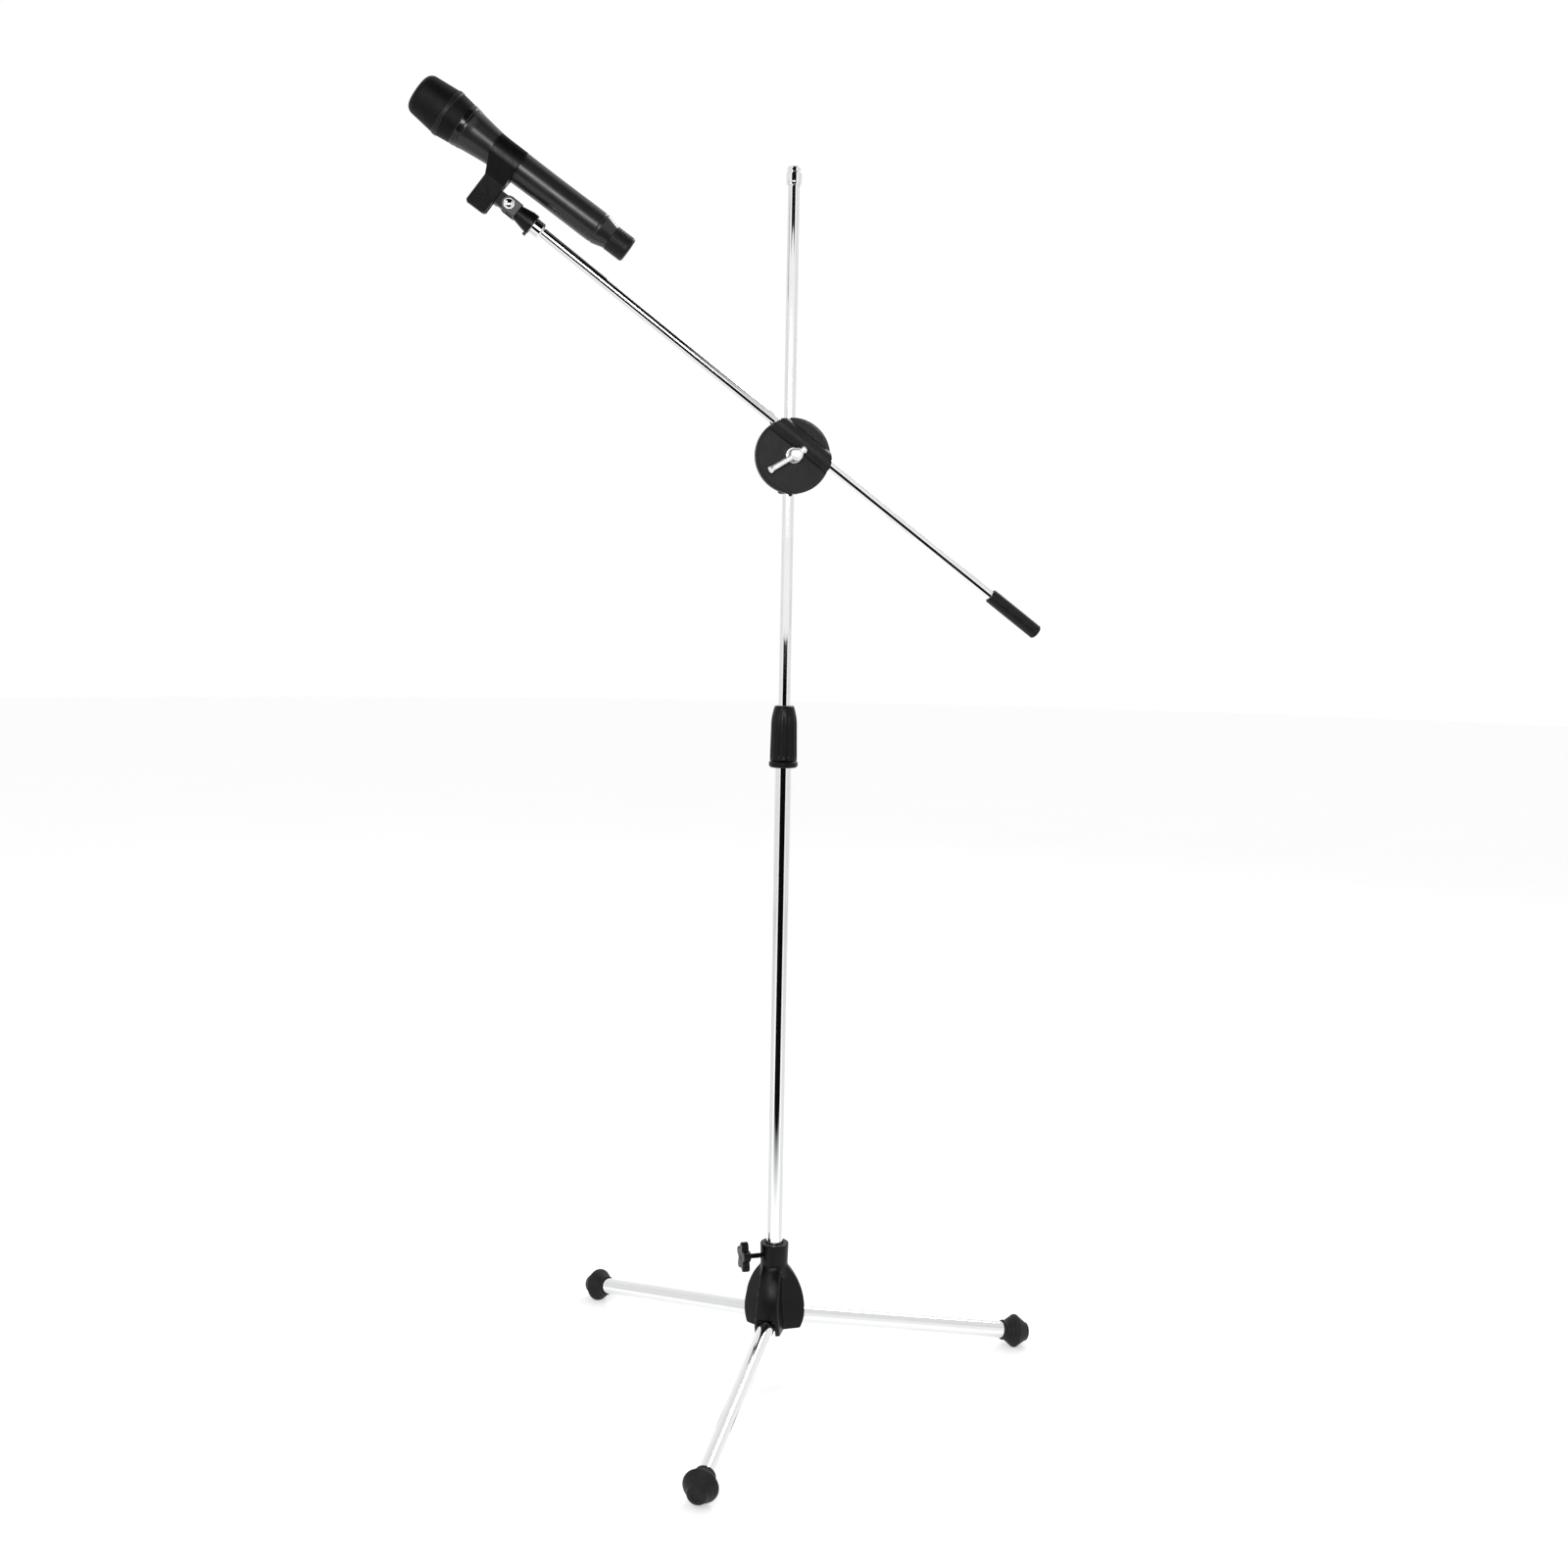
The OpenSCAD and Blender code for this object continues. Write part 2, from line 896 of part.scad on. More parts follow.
module clip_moving_jaw() {
    color(black)
        clip_frame()
            difference() {
                lever(moving_knuckles, handle_end);
                translate([0, 0, hinge_z])
                    x_rod(jaw_pin_r + run_fit, -50, 0);
            }
}

module clip_fixed_jaw() {
    color(black)
        clip_frame()
            difference() {
                union() {
                    mirror([0, 1, 0])
                        lever(fixed_knuckles, far_handle_end);
                    along_y(-tongue_half, tongue_half) {
                        circle(r = 6.9);
                        translate([-12, -6.6])
                            square([12, 13.2]);
                    }
                    translate([-15.8, 2, -6.6])
                        cube([7.4, 5.2, 13.2]);
                }
                translate([0, 0, hinge_z])
                    x_rod(jaw_pin_r, -50, -16);
                y_rod(2.5 + run_fit, -10, 10);
            }
}

module moving_jaw_pad() {
    color(rubber)
        clip_frame()
            jaw_pad();
}

module fixed_jaw_pad() {
    color(rubber)
        clip_frame()
            mirror([0, 1, 0])
                jaw_pad();
}

module clip_hinge_pin() {
    color(steel)
        clip_frame()
            translate([0, 0, hinge_z])
                x_rod(jaw_pin_r, -32.4, -16.6);
}

// Torsion spring: close coils round the pin, with one leg on the fixed lever
module clip_spring() {
    wire = 0.3;
    coil_r = 2.3;
    color(steel)
        clip_frame()
            translate([0, 0, hinge_z]) {
                for (x = spring_coils)
                    translate([x, 0, 0])
                        rotate([0, 90, 0])
                            rotate_extrude()
                                translate([coil_r, 0])
                                    circle(r = wire);
                translate([spring_coils[0], 0, 0])
                    y_rod(wire - 0.04, coil_r, 4.2);
            }
}

// ---- Microphone ----
// A turned shell between two outlines of [radius, distance] points
module turned(points) {
    mic_frame()
        rotate_extrude()
            polygon(points);
}

function head_outer() = concat(
    [[0, 0], [6, 0.15]],
    arc(12.9, 8.6, 7.5, -82, -5, 10),
    [[22.3, ring_s]]
);
function head_inner(t) = concat(
    [[22.3 - t, ring_s]],
    arc(12.9, 8.6, 7.5 - t, -5, -82, 10),
    [[6, 0.15 + t], [0, t]]
);

module mic_grille() {
    color(black)
        turned(concat(head_outer(), head_inner(1.2)));
}

module mic_grille_ring() {
    color(black)
        turned([
            [20.4, ring_s], [22.4, ring_s], [22.9, ring_s + 0.7], [22.9, lower_mesh_s - 0.7],
            [22.4, lower_mesh_s], [20.4, lower_mesh_s]
        ]);
}

module mic_lower_grille() {
    color(black)
        turned([
            [22.3, lower_mesh_s], [20.5, collar_s], [19.3, collar_s], [21.1, lower_mesh_s]
        ]);
}

module mic_foam() {
    color(soft_black)
        turned(concat(
            head_inner(1.3),
            [[0, 4.3]],
            arc(12.9, 8.6, 3.2, -82, -5, 6),
            [[17.6, ring_s]]
        ));
}

module mic_capsule() {
    color(steel)
        mic_frame() {
            rod(12.2, 8, 9.2);
            ring(12.6, 11.4, 9.2, 18);
            rod(12.2, 18, 27);
        }
}

module capsule_mount() {
    color(rubber)
        turned([
            [0, 27], [14, 27], [15.4, 31], [15.4, 40], [17.8, 44], [17.8, collar_s],
            [9, collar_s], [9, 34], [0, 34]
        ]);
}

module mic_collar() {
    color(black)
        turned([
            [17.8, collar_s], [20.6, collar_s], [20.6, collar_s + 0.8], [20.3, body_s - 1.6],
            [19.7, body_s - 1.2], [19.7, body_s], [17.8, body_s]
        ]);
}

module mic_body() {
    wall = 1.7;
    outer = [
        [19.8, body_s], [19.3, 61], [17.6, 74], [16.3, 84], [15.8, 92], [mic_body_r, 105],
        [15.4, 150], [mic_body_r, 195], [15.6, tail_s]
    ];
    last = len(outer) - 1;
    color([0.17, 0.17, 0.18])
        turned(concat(outer, [for (i = [last:-1:0]) outer[i] - [wall, 0]]));
}

module mic_tail_ring() {
    color(soft_black)
        turned([
            [13, tail_s], [15.6, tail_s], [15.2, tail_s + 0.8], [15.2, tail_s + 1.8],
            [15.55, tail_s + 2.6], [14.8, tail_s + 6], [13, tail_s + 12], [12.1, cap_s],
            [9.5, cap_s], [9.5, tail_s]
        ]);
}

module mic_tail_cap() {
    color(black)
        turned(concat(
            [[0, cap_s], [11.9, cap_s], [11.9, mic_len - 1.5]],
            arc(10.4, mic_len - 1.5, 1.5, 0, 90, 4),
            [[7, mic_len], [6.6, mic_len - 1], [0, mic_len - 1]]
        ));
}

module mic_board() {
    color([0.05, 0.22, 0.12])
        mic_frame()
            translate([-9, 8.6, 62])
                cube([18, 1.6, 84]);
}

module mic_battery() {
    color([0.35, 0.36, 0.38])
        mic_frame()
            for (s = [92, 144]) {
                rod(7.1, s, s + 49.5);
                rod(2.6, s - 1, s);
            }
}

hub_shell();
leg_hinge_block();
leg_pivot_pins();
thumb_insert();
thumb_screw();
thumb_knob();
leg_tube(0);  // right_leg_tube
leg_end(0);  // right_leg_end
foot(0);  // right_foot
leg_tube(1);  // left_leg_tube
leg_end(1);  // left_leg_end
foot(1);  // left_foot
leg_tube(2);  // front_leg_tube
leg_end(2);  // front_leg_end
foot(2);  // front_foot
lower_tube();
lower_plug();
clutch_base();
clutch_collet();
clutch_sleeve();
upper_tube();
upper_bush();
pole_stud();
pole_liner();
rear_clamp();
clamp_insert();
friction_washer();
front_disc();
clamp_bolt();
clamp_washer();
t_bar();
boom_tube();
boom_grip();
boom_plug();
boom_stud();
clip_base();
swivel_bolt();
swivel_washer();
swivel_nut();
clip_fixed_jaw();
fixed_jaw_pad();
clip_hinge_pin();
clip_spring();
clip_moving_jaw();
moving_jaw_pad();
mic_grille();
mic_grille_ring();
mic_lower_grille();
mic_foam();
mic_capsule();
capsule_mount();
mic_collar();
mic_body();
mic_tail_ring();
mic_tail_cap();
mic_board();
mic_battery();
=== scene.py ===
import math

import bmesh
import bpy
from mathutils import Matrix, Vector
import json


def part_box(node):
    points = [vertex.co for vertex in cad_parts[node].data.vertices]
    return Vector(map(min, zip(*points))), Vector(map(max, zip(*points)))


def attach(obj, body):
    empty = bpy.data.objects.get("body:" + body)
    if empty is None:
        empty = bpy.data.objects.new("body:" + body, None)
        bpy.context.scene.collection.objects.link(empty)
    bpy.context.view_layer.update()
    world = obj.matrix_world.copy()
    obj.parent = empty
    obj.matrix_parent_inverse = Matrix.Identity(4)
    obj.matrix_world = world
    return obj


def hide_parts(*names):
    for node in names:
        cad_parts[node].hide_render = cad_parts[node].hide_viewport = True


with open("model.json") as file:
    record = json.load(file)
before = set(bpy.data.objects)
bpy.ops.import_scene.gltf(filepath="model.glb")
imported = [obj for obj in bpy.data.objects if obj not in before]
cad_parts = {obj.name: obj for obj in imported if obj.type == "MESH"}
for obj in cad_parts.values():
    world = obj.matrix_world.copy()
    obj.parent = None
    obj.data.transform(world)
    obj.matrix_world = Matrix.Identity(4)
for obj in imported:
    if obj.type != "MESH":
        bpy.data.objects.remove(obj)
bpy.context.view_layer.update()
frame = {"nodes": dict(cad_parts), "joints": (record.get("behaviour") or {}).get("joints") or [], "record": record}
nodes = frame["nodes"]
joints = {j["name"]: j for j in frame["joints"]}

BODIES = frame["record"]["behaviour"]["bodies"]

MM = 0.001
UP = Vector((0, 0, 1))
ORIGIN = Vector((0, 0, 0))


# ---- Measuring the frame ----
def direction(joint):
    return Vector(joints[joint]["axis"]).normalized()


def place(joint):
    return Vector(joints[joint]["pos_m"])


def span(node, origin, axis):
    """Lowest and highest distance of a node's points from origin along axis."""
    steps = [(v.co - origin).dot(axis) for v in nodes[node].data.vertices]
    return min(steps), max(steps)


def reach(node, origin, axis):
    """Largest distance of a node's points from the line through origin along axis."""
    return max((v.co - origin).cross(axis).length for v in nodes[node].data.vertices)


def middle(node):
    low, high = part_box(node)
    return (low + high) / 2


def axis_frame(origin, z_axis, x_hint=UP):
    """Frame at origin whose local Z is z_axis and whose local X leans towards x_hint."""
    z = z_axis.normalized()
    hint = x_hint if abs(z.dot(x_hint)) < 0.99 else Vector((1, 0, 0))
    x = (hint - z * hint.dot(z)).normalized()
    matrix = Matrix((x, z.cross(x), z)).transposed().to_4x4()
    matrix.translation = origin
    return matrix


# ---- Materials ----
def new_material(name):
    material = bpy.data.materials.new(name)
    material.use_nodes = True
    tree = material.node_tree
    return material, tree, tree.nodes["Principled BSDF"]


def noise_node(tree, scale, detail=3, stretch=(1, 1, 1)):
    """Noise laid over the row frame, so neighbouring pieces share one grain."""
    coords = tree.nodes.new("ShaderNodeTexCoord")
    mapping = tree.nodes.new("ShaderNodeMapping")
    mapping.inputs["Scale"].default_value = stretch
    noise = tree.nodes.new("ShaderNodeTexNoise")
    noise.inputs["Scale"].default_value = scale
    noise.inputs["Detail"].default_value = detail
    tree.links.new(coords.outputs["Object"], mapping.inputs["Vector"])
    tree.links.new(mapping.outputs["Vector"], noise.inputs["Vector"])
    return noise


def ramp(tree, source, low, high, start=0.3, end=0.7):
    """Maps a factor to a range of greys or colours."""
    node = tree.nodes.new("ShaderNodeValToRGB")
    node.color_ramp.elements[0].position = start
    node.color_ramp.elements[1].position = end
    for element, value in zip(node.color_ramp.elements, (low, high)):
        element.color = (*value, 1) if isinstance(value, tuple) else (value, value, value, 1)
    tree.links.new(source, node.inputs["Fac"])
    return node.outputs["Color"]


def add_bump(tree, shader, height, strength, distance, under=None):
    bump = tree.nodes.new("ShaderNodeBump")
    bump.inputs["Strength"].default_value = strength
    bump.inputs["Distance"].default_value = distance
    tree.links.new(height, bump.inputs["Height"])
    if under is not None:
        tree.links.new(under, bump.inputs["Normal"])
    tree.links.new(bump.outputs["Normal"], shader.inputs["Normal"])
    return bump.outputs["Normal"]


def plastic(name, colour, rough, grain_scale, grain, shine=0.16, wear=0.25):
    """Moulded plastic: a fine grain, faint flow marks and uneven gloss."""
    material, tree, shader = new_material(name)
    patches = noise_node(tree, 55, 4)
    dark = tuple(c * (1 - wear) for c in colour)
    light = tuple(c * (1 + wear) for c in colour)
    tree.links.new(ramp(tree, patches.outputs["Fac"], dark, light), shader.inputs["Base Color"])
    smears = noise_node(tree, 210, 5, (1, 1, 0.35))
    low, high = rough
    tree.links.new(ramp(tree, smears.outputs["Fac"], low, high), shader.inputs["Roughness"])
    fine = noise_node(tree, grain_scale, 2)
    soft = add_bump(tree, shader, smears.outputs["Fac"], 0.05, 0.0006)
    add_bump(tree, shader, fine.outputs["Fac"], grain, 0.0003, soft)
    shader.inputs["Specular IOR Level"].default_value = shine
    return material


def polished_metal(name, colour, rough, scratch):
    """Plated or polished metal with hairline scratches and slightly uneven polish."""
    material, tree, shader = new_material(name)
    shader.inputs["Metallic"].default_value = 1
    haze = noise_node(tree, 38, 4)
    dark = tuple(c * 0.97 for c in colour)
    tree.links.new(ramp(tree, haze.outputs["Fac"], dark, colour), shader.inputs["Base Color"])
    low, high = rough
    tree.links.new(ramp(tree, haze.outputs["Fac"], low, high), shader.inputs["Roughness"])
    hairs = noise_node(tree, 900, 6, (1, 1, 0.06))
    add_bump(tree, shader, hairs.outputs["Fac"], scratch, 0.00005)
    return material


def paint(name, colour, rough, fleck, shine=0.3):
    """Satin paint over metal: fine orange peel and a faint fleck."""
    material, tree, shader = new_material(name)
    flecks = noise_node(tree, 2600, 2)
    dark = tuple(c * (1 - fleck) for c in colour)
    light = tuple(c * (1 + fleck) for c in colour)
    tree.links.new(ramp(tree, flecks.outputs["Fac"], dark, light), shader.inputs["Base Color"])
    cloud = noise_node(tree, 70, 4)
    low, high = rough
    tree.links.new(ramp(tree, cloud.outputs["Fac"], low, high), shader.inputs["Roughness"])
    peel = noise_node(tree, 700, 3)
    add_bump(tree, shader, peel.outputs["Fac"], 0.06, 0.0002)
    shader.inputs["Specular IOR Level"].default_value = shine
    return material


def rubber(name, colour, rough, dust):
    """Moulded rubber: matt, with fine pores and a little dust in the open."""
    material, tree, shader = new_material(name)
    patches = noise_node(tree, 90, 6)
    pale = tuple(c + dust for c in colour)
    dusty = ramp(tree, patches.outputs["Fac"], colour, pale, 0.45, 0.85)
    tree.links.new(dusty, shader.inputs["Base Color"])
    low, high = rough
    tree.links.new(ramp(tree, patches.outputs["Fac"], low, high), shader.inputs["Roughness"])
    pores = noise_node(tree, 1500, 3)
    add_bump(tree, shader, pores.outputs["Fac"], 0.22, 0.0003)
    shader.inputs["Specular IOR Level"].default_value = 0.18
    return material


def foam(name, colour):
    """Open-cell foam: round pits over a dark, fully matt sponge, with painted shade that darkens the colour
    towards the bottom of each pit.
    """
    material, tree, shader = new_material(name)
    coords = tree.nodes.new("ShaderNodeTexCoord")
    cells = tree.nodes.new("ShaderNodeTexVoronoi")
    cells.inputs["Scale"].default_value = 900
    tree.links.new(coords.outputs["Object"], cells.inputs["Vector"])
    # Painted shade: the base colour runs from dark at each pit's bottom to paler on the walls between the pits.
    pale = tuple(c * 2.2 for c in colour)
    pit_shaded_colour = ramp(tree, cells.outputs["Distance"], colour, pale, 0.1, 0.6)
    tree.links.new(pit_shaded_colour, shader.inputs["Base Color"])
    shader.inputs["Roughness"].default_value = 0.95
    add_bump(tree, shader, cells.outputs["Distance"], 0.6, 0.0006)
    return material


MATERIALS = {
    "black_plastic": plastic("black_plastic", (0.002, 0.002, 0.0022), (0.28, 0.4), 1700, 0.14, 0.17),
    "grained_plastic": plastic("grained_plastic", (0.007, 0.007, 0.0075), (0.4, 0.54), 1100, 0.4, 0.24),
    "grip_rubber": rubber("grip_rubber", (0.006, 0.006, 0.0065), (0.34, 0.48), 0.004),
    "soft_plastic": plastic("soft_plastic", (0.006, 0.006, 0.0065), (0.36, 0.5), 1500, 0.12, 0.2),
    # Painted sheen: this plastic's light grey tone stands in for the light that the clip's flat cheeks reflect.
    "swivel_plastic": plastic("swivel_plastic", (0.055, 0.055, 0.057), (0.4, 0.55), 1500, 0.15, 0.3),
    "chrome": polished_metal("chrome", (0.84, 0.845, 0.85), (0.03, 0.06), 0.008),
    "satin_chrome": polished_metal("satin_chrome", (0.95, 0.95, 0.955), (0.4, 0.5), 0.03),
    "black_steel": polished_metal("black_steel", (0.02, 0.02, 0.021), (0.3, 0.42), 0.2),
    "steel": polished_metal("steel", (0.62, 0.63, 0.65), (0.22, 0.36), 0.3),
    "brass": polished_metal("brass", (0.78, 0.6, 0.3), (0.2, 0.32), 0.2),
    "foot_rubber": rubber("foot_rubber", (0.008, 0.008, 0.008), (0.48, 0.64), 0.01),
    "pad_rubber": rubber("pad_rubber", (0.02, 0.02, 0.02), (0.7, 0.85), 0.01),
    "grille_paint": paint("grille_paint", (0.0025, 0.0025, 0.0028), (0.36, 0.5), 0.3, 0.12),
    "foam": foam("foam", (0.006, 0.006, 0.006)),
    "capsule_metal": polished_metal("capsule_metal", (0.6, 0.6, 0.62), (0.3, 0.4), 0.2),
    "mic_gloss": plastic("mic_gloss", (0.004, 0.004, 0.0045), (0.12, 0.2), 1500, 0.03, 0.35),
    "mic_paint": paint("mic_paint", (0.009, 0.009, 0.0095), (0.25, 0.31), 0.35, 0.4),
    "mic_plastic": plastic("mic_plastic", (0.005, 0.005, 0.0055), (0.38, 0.5), 1400, 0.3, 0.2),
    "board": plastic("board", (0.02, 0.12, 0.05), (0.3, 0.4), 600, 0.2, 0.5),
    "battery": paint("battery", (0.3, 0.31, 0.33), (0.3, 0.4), 0.1),
}
SLOT_OF_NODE = {s["node"]: s["material_slot"] for s in frame["record"]["subparts"]}
for name, node in nodes.items():
    node.data.materials.clear()
    node.data.materials.append(MATERIALS[SLOT_OF_NODE[name]])


# ---- Building pieces ----
def finish_piece(piece, body, look, covers=()):
    """Puts a piece on its body, in its material, in place of the CAD nodes it covers."""
    piece.data.materials.clear()
    piece.data.materials.append(MATERIALS[look])
    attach(piece, body)
    if covers:
        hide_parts(*covers)
    return piece


def mesh_piece(name, points, faces, sharp=40):
    """New object from points in the row frame. Edges over the sharp angle stay crisp."""
    mesh = bpy.data.meshes.new(name)
    mesh.from_pydata([tuple(p) for p in points], [], faces)
    tidy = bmesh.new()
    tidy.from_mesh(mesh)
    bmesh.ops.recalc_face_normals(tidy, faces=tidy.faces)
    tidy.to_mesh(mesh)
    tidy.free()
    mesh.shade_smooth()
    mesh.set_sharp_from_angle(angle=math.radians(sharp))
    piece = bpy.data.objects.new(name, mesh)
    bpy.context.scene.collection.objects.link(piece)
    return piece


def rounded(points, closed=False, steps=4):
    """Profile with its corners eased. A point is (radius, height) or (radius, height, easing).

    A holding point on each side of a corner keeps the shading of the straight parts flat.
    """
    out = []
    count = len(points)
    for i, point in enumerate(points):
        here = Vector(point[:2])
        ease = point[2] if len(point) > 2 else 0
        inner = closed or 0 < i < count - 1
        if not ease or not inner:
            out.append(here)
            continue
        before = Vector(points[i - 1][:2]) - here
        after = Vector(points[(i + 1) % count][:2]) - here
        cut = min(ease, before.length * 0.48, after.length * 0.48)
        first = here + before.normalized() * cut
        last = here + after.normalized() * cut
        hold = [min(side.length * 0.49 - cut, 0.3 * cut + 0.1) for side in (before, after)]
        if hold[0] > 0.02:
            out.append(first + before.normalized() * hold[0])
        for k in range(steps + 1):
            t = k / steps
            out.append(first * (1 - t) ** 2 + here * 2 * t * (1 - t) + last * t * t)
        if hold[1] > 0.02:
            out.append(last + after.normalized() * hold[1])
    return out


def revolve(name, profile, matrix, segments=96, closed=False, sharp=40):
    """Turns a profile of (radius, height) round the frame's Z axis. Sizes in millimetres."""
    points, rings, faces = [], [], []
    for radius, height in profile:
        if radius < 1e-6:
            rings.append([len(points)] * segments)
            points.append(matrix @ Vector((0, 0, height * MM)))
            continue
        rings.append(range(len(points), len(points) + segments))
        for k in range(segments):
            a = 2 * math.pi * k / segments
            local = Vector((radius * math.cos(a), radius * math.sin(a), height)) * MM
            points.append(matrix @ local)
    pairs = list(zip(rings, rings[1:]))
    if closed:
        pairs.append((rings[-1], rings[0]))
    for lower, upper in pairs:
        for k in range(segments):
            n = (k + 1) % segments
            quad = [lower[k], lower[n], upper[n], upper[k]]
            face = list(dict.fromkeys(quad))
            if len(face) > 2:
                faces.append(face)
    return mesh_piece(name, points, faces, sharp)


def surface(name, rows, sharp=60):
    """Skin over rows of points that each go once round."""
    count = len(rows[0])
    points = [p for row in rows for p in row]
    faces = []
    for j in range(len(rows) - 1):
        for k in range(count):
            n = (k + 1) % count
            faces.append([j * count + k, j * count + n, (j + 1) * count + n, (j + 1) * count + k])
    return mesh_piece(name, points, faces, sharp)


def rippled(name, profile, matrix, radius_at, segments, sharp=60):
    """Like revolve, with each point's radius changed by radius_at(radius, height, angle)."""
    rows = []
    for radius, height in profile:
        row = []
        for k in range(segments):
            a = 2 * math.pi * k / segments
            r = radius_at(radius, height, a)
            row.append(matrix @ (Vector((r * math.cos(a), r * math.sin(a), height)) * MM))
        rows.append(row)
    return surface(name, rows, sharp)


def threaded(name, radius, start, end, pitch, depth, matrix):
    """Screw thread between two heights, run out at both ends. Sizes in millimetres."""
    rings_per_turn, segments = 8, 48
    steps = max(4, int((end - start) / pitch * rings_per_turn))

    def thread_radius(r, z, a):
        phase = (z / pitch - a / (2 * math.pi)) % 1
        fade = min(1, (z - start) / pitch, (end - z) / pitch)
        return r - depth * max(0, fade) * abs(2 * phase - 1)

    profile = [(radius, start + (end - start) * k / steps) for k in range(steps + 1)]
    piece = rippled(name, profile, matrix, thread_radius, segments, sharp=80)
    cap = bmesh.new()
    cap.from_mesh(piece.data)
    edges = [e for e in cap.edges if e.is_boundary]
    bmesh.ops.holes_fill(cap, edges=edges)
    bmesh.ops.recalc_face_normals(cap, faces=cap.faces)
    cap.to_mesh(piece.data)
    cap.free()
    piece.data.set_sharp_from_angle(angle=math.radians(60))
    return piece


def prism(name, outline, low, high, matrix, ease=0.5, steps=3):
    """Extrudes an outline of (x, y) along the frame's Z axis, with eased edges. Millimetres."""
    count = len(outline)
    points = [matrix @ (Vector((x, y, z)) * MM) for z in (low, high) for x, y in outline]
    faces = [list(range(count)), list(range(count, 2 * count))]
    for k in range(count):
        n = (k + 1) % count
        faces.append([k, n, count + n, count + k])
    piece = mesh_piece(name, points, faces)
    ease_edges(piece, ease, steps)
    return piece


def ease_edges(piece, width, steps=2, angle=32):
    """Rounds the edges over an angle (degrees) by a width (millimetres)."""
    bevel = piece.modifiers.new("eased", "BEVEL")
    bevel.width = width * MM
    bevel.segments = steps
    bevel.limit_method = "ANGLE"
    bevel.angle_limit = math.radians(angle)
    bevel.miter_outer = "MITER_ARC"
    bevel.use_clamp_overlap = True
    flat = piece.modifiers.new("flat faces", "WEIGHTED_NORMAL")
    flat.keep_sharp = True


def eased_copy(node, look=None, width=0.4, steps=2, angle=28):
    """A CAD node's own shape with rounded edges, in place of the node."""
    piece = bpy.data.objects.new(node + "_eased", nodes[node].data.copy())
    bpy.context.scene.collection.objects.link(piece)
    shape = bmesh.new()
    shape.from_mesh(piece.data)
    bmesh.ops.remove_doubles(shape, verts=shape.verts, dist=2e-6)
    bmesh.ops.dissolve_limit(
        shape, angle_limit=math.radians(0.6), verts=shape.verts, edges=shape.edges
    )
    shape.to_mesh(piece.data)
    shape.free()
    piece.data.shade_smooth()
    ease_edges(piece, width, steps, angle)
    return finish_piece(piece, node_body(node), look or SLOT_OF_NODE[node], [node])


def node_body(node):
    """The body that a CAD node belongs to."""
    return next(b for b, members in BODIES.items() if node in members)


def swept(name, path, radius):
    """Round wire along a path of points in the row frame, with a radius in millimetres."""
    curve = bpy.data.curves.new(name, "CURVE")
    curve.dimensions = "3D"
    spline = curve.splines.new("POLY")
    spline.points.add(len(path) - 1)
    for point, co in zip(spline.points, path):
        point.co = (*co, 1)
    curve.bevel_depth = radius * MM
    curve.bevel_resolution = 2
    curve.use_fill_caps = True
    wire = bpy.data.objects.new(name + "_curve", curve)
    bpy.context.scene.collection.objects.link(wire)
    mesh = bpy.data.meshes.new_from_object(wire)
    bpy.data.objects.remove(wire)
    bpy.data.curves.remove(curve)
    mesh.name = name
    mesh.shade_smooth()
    piece = bpy.data.objects.new(name, mesh)
    bpy.context.scene.collection.objects.link(piece)
    return piece


def tube(node, origin, axis, ease=0.35):
    """A drawn tube with rolled ends, over its CAD node."""
    wall = 1.0
    low, high = (x / MM for x in span(node, origin, axis))
    outer = reach(node, origin, axis) / MM
    profile = rounded(
        [
            (outer, low, ease), (outer, high, ease),
            (outer - wall, high, ease), (outer - wall, low, ease),
        ],
        closed=True,
    )
    piece = revolve(node + "_drawn", profile, axis_frame(origin, axis), 96, closed=True)
    return finish_piece(piece, node_body(node), SLOT_OF_NODE[node], [node])


# ---- Base ----
# The hub's outline in millimetres: arc radii above and below its widest height, and heights up.
HUB_ARC = 66.3
HUB_TUCK = 36.4
HUB_RADIUS = 30.7
HUB_WIDEST = 64
HUB_WALL = 2.2
HUB_ROOF = 98
NECK_FOOT = 106
HUB_SHOULDER = 112
# Half the width of a lobe at a height.
LOBE_HALVES = [(48, 12.4), (56, 12.4), (76, 10.6), (112, 9.4), (140, 9.4)]
SLOT_HALF = 8.6
LEGS = ["right", "left", "front"]


def between(table, x):
    """Straight-line reading of a table of (x, value)."""
    for (x0, v0), (x1, v1) in zip(table, table[1:]):
        if x <= x1:
            return v0 + (v1 - v0) * max(0, x - x0) / (x1 - x0)
    return table[-1][1]


def smooth_least(a, b, blend):
    """The lesser of two lengths, with the corner between them rounded."""
    gap = max(blend - abs(a - b), 0) / blend
    return min(a, b) - gap * gap * blend / 4


def smooth_most(a, b, blend):
    return -smooth_least(-a, -b, blend)


def hub_curve(z):
    """The hub's turned outline before it is cut into lobes."""
    upper = HUB_RADIUS - HUB_ARC + math.sqrt(HUB_ARC ** 2 - (z - HUB_WIDEST) ** 2)
    if z >= HUB_WIDEST:
        return upper
    tuck = HUB_RADIUS - HUB_TUCK + math.sqrt(HUB_TUCK ** 2 - (z - HUB_WIDEST) ** 2)
    return min(upper, tuck)


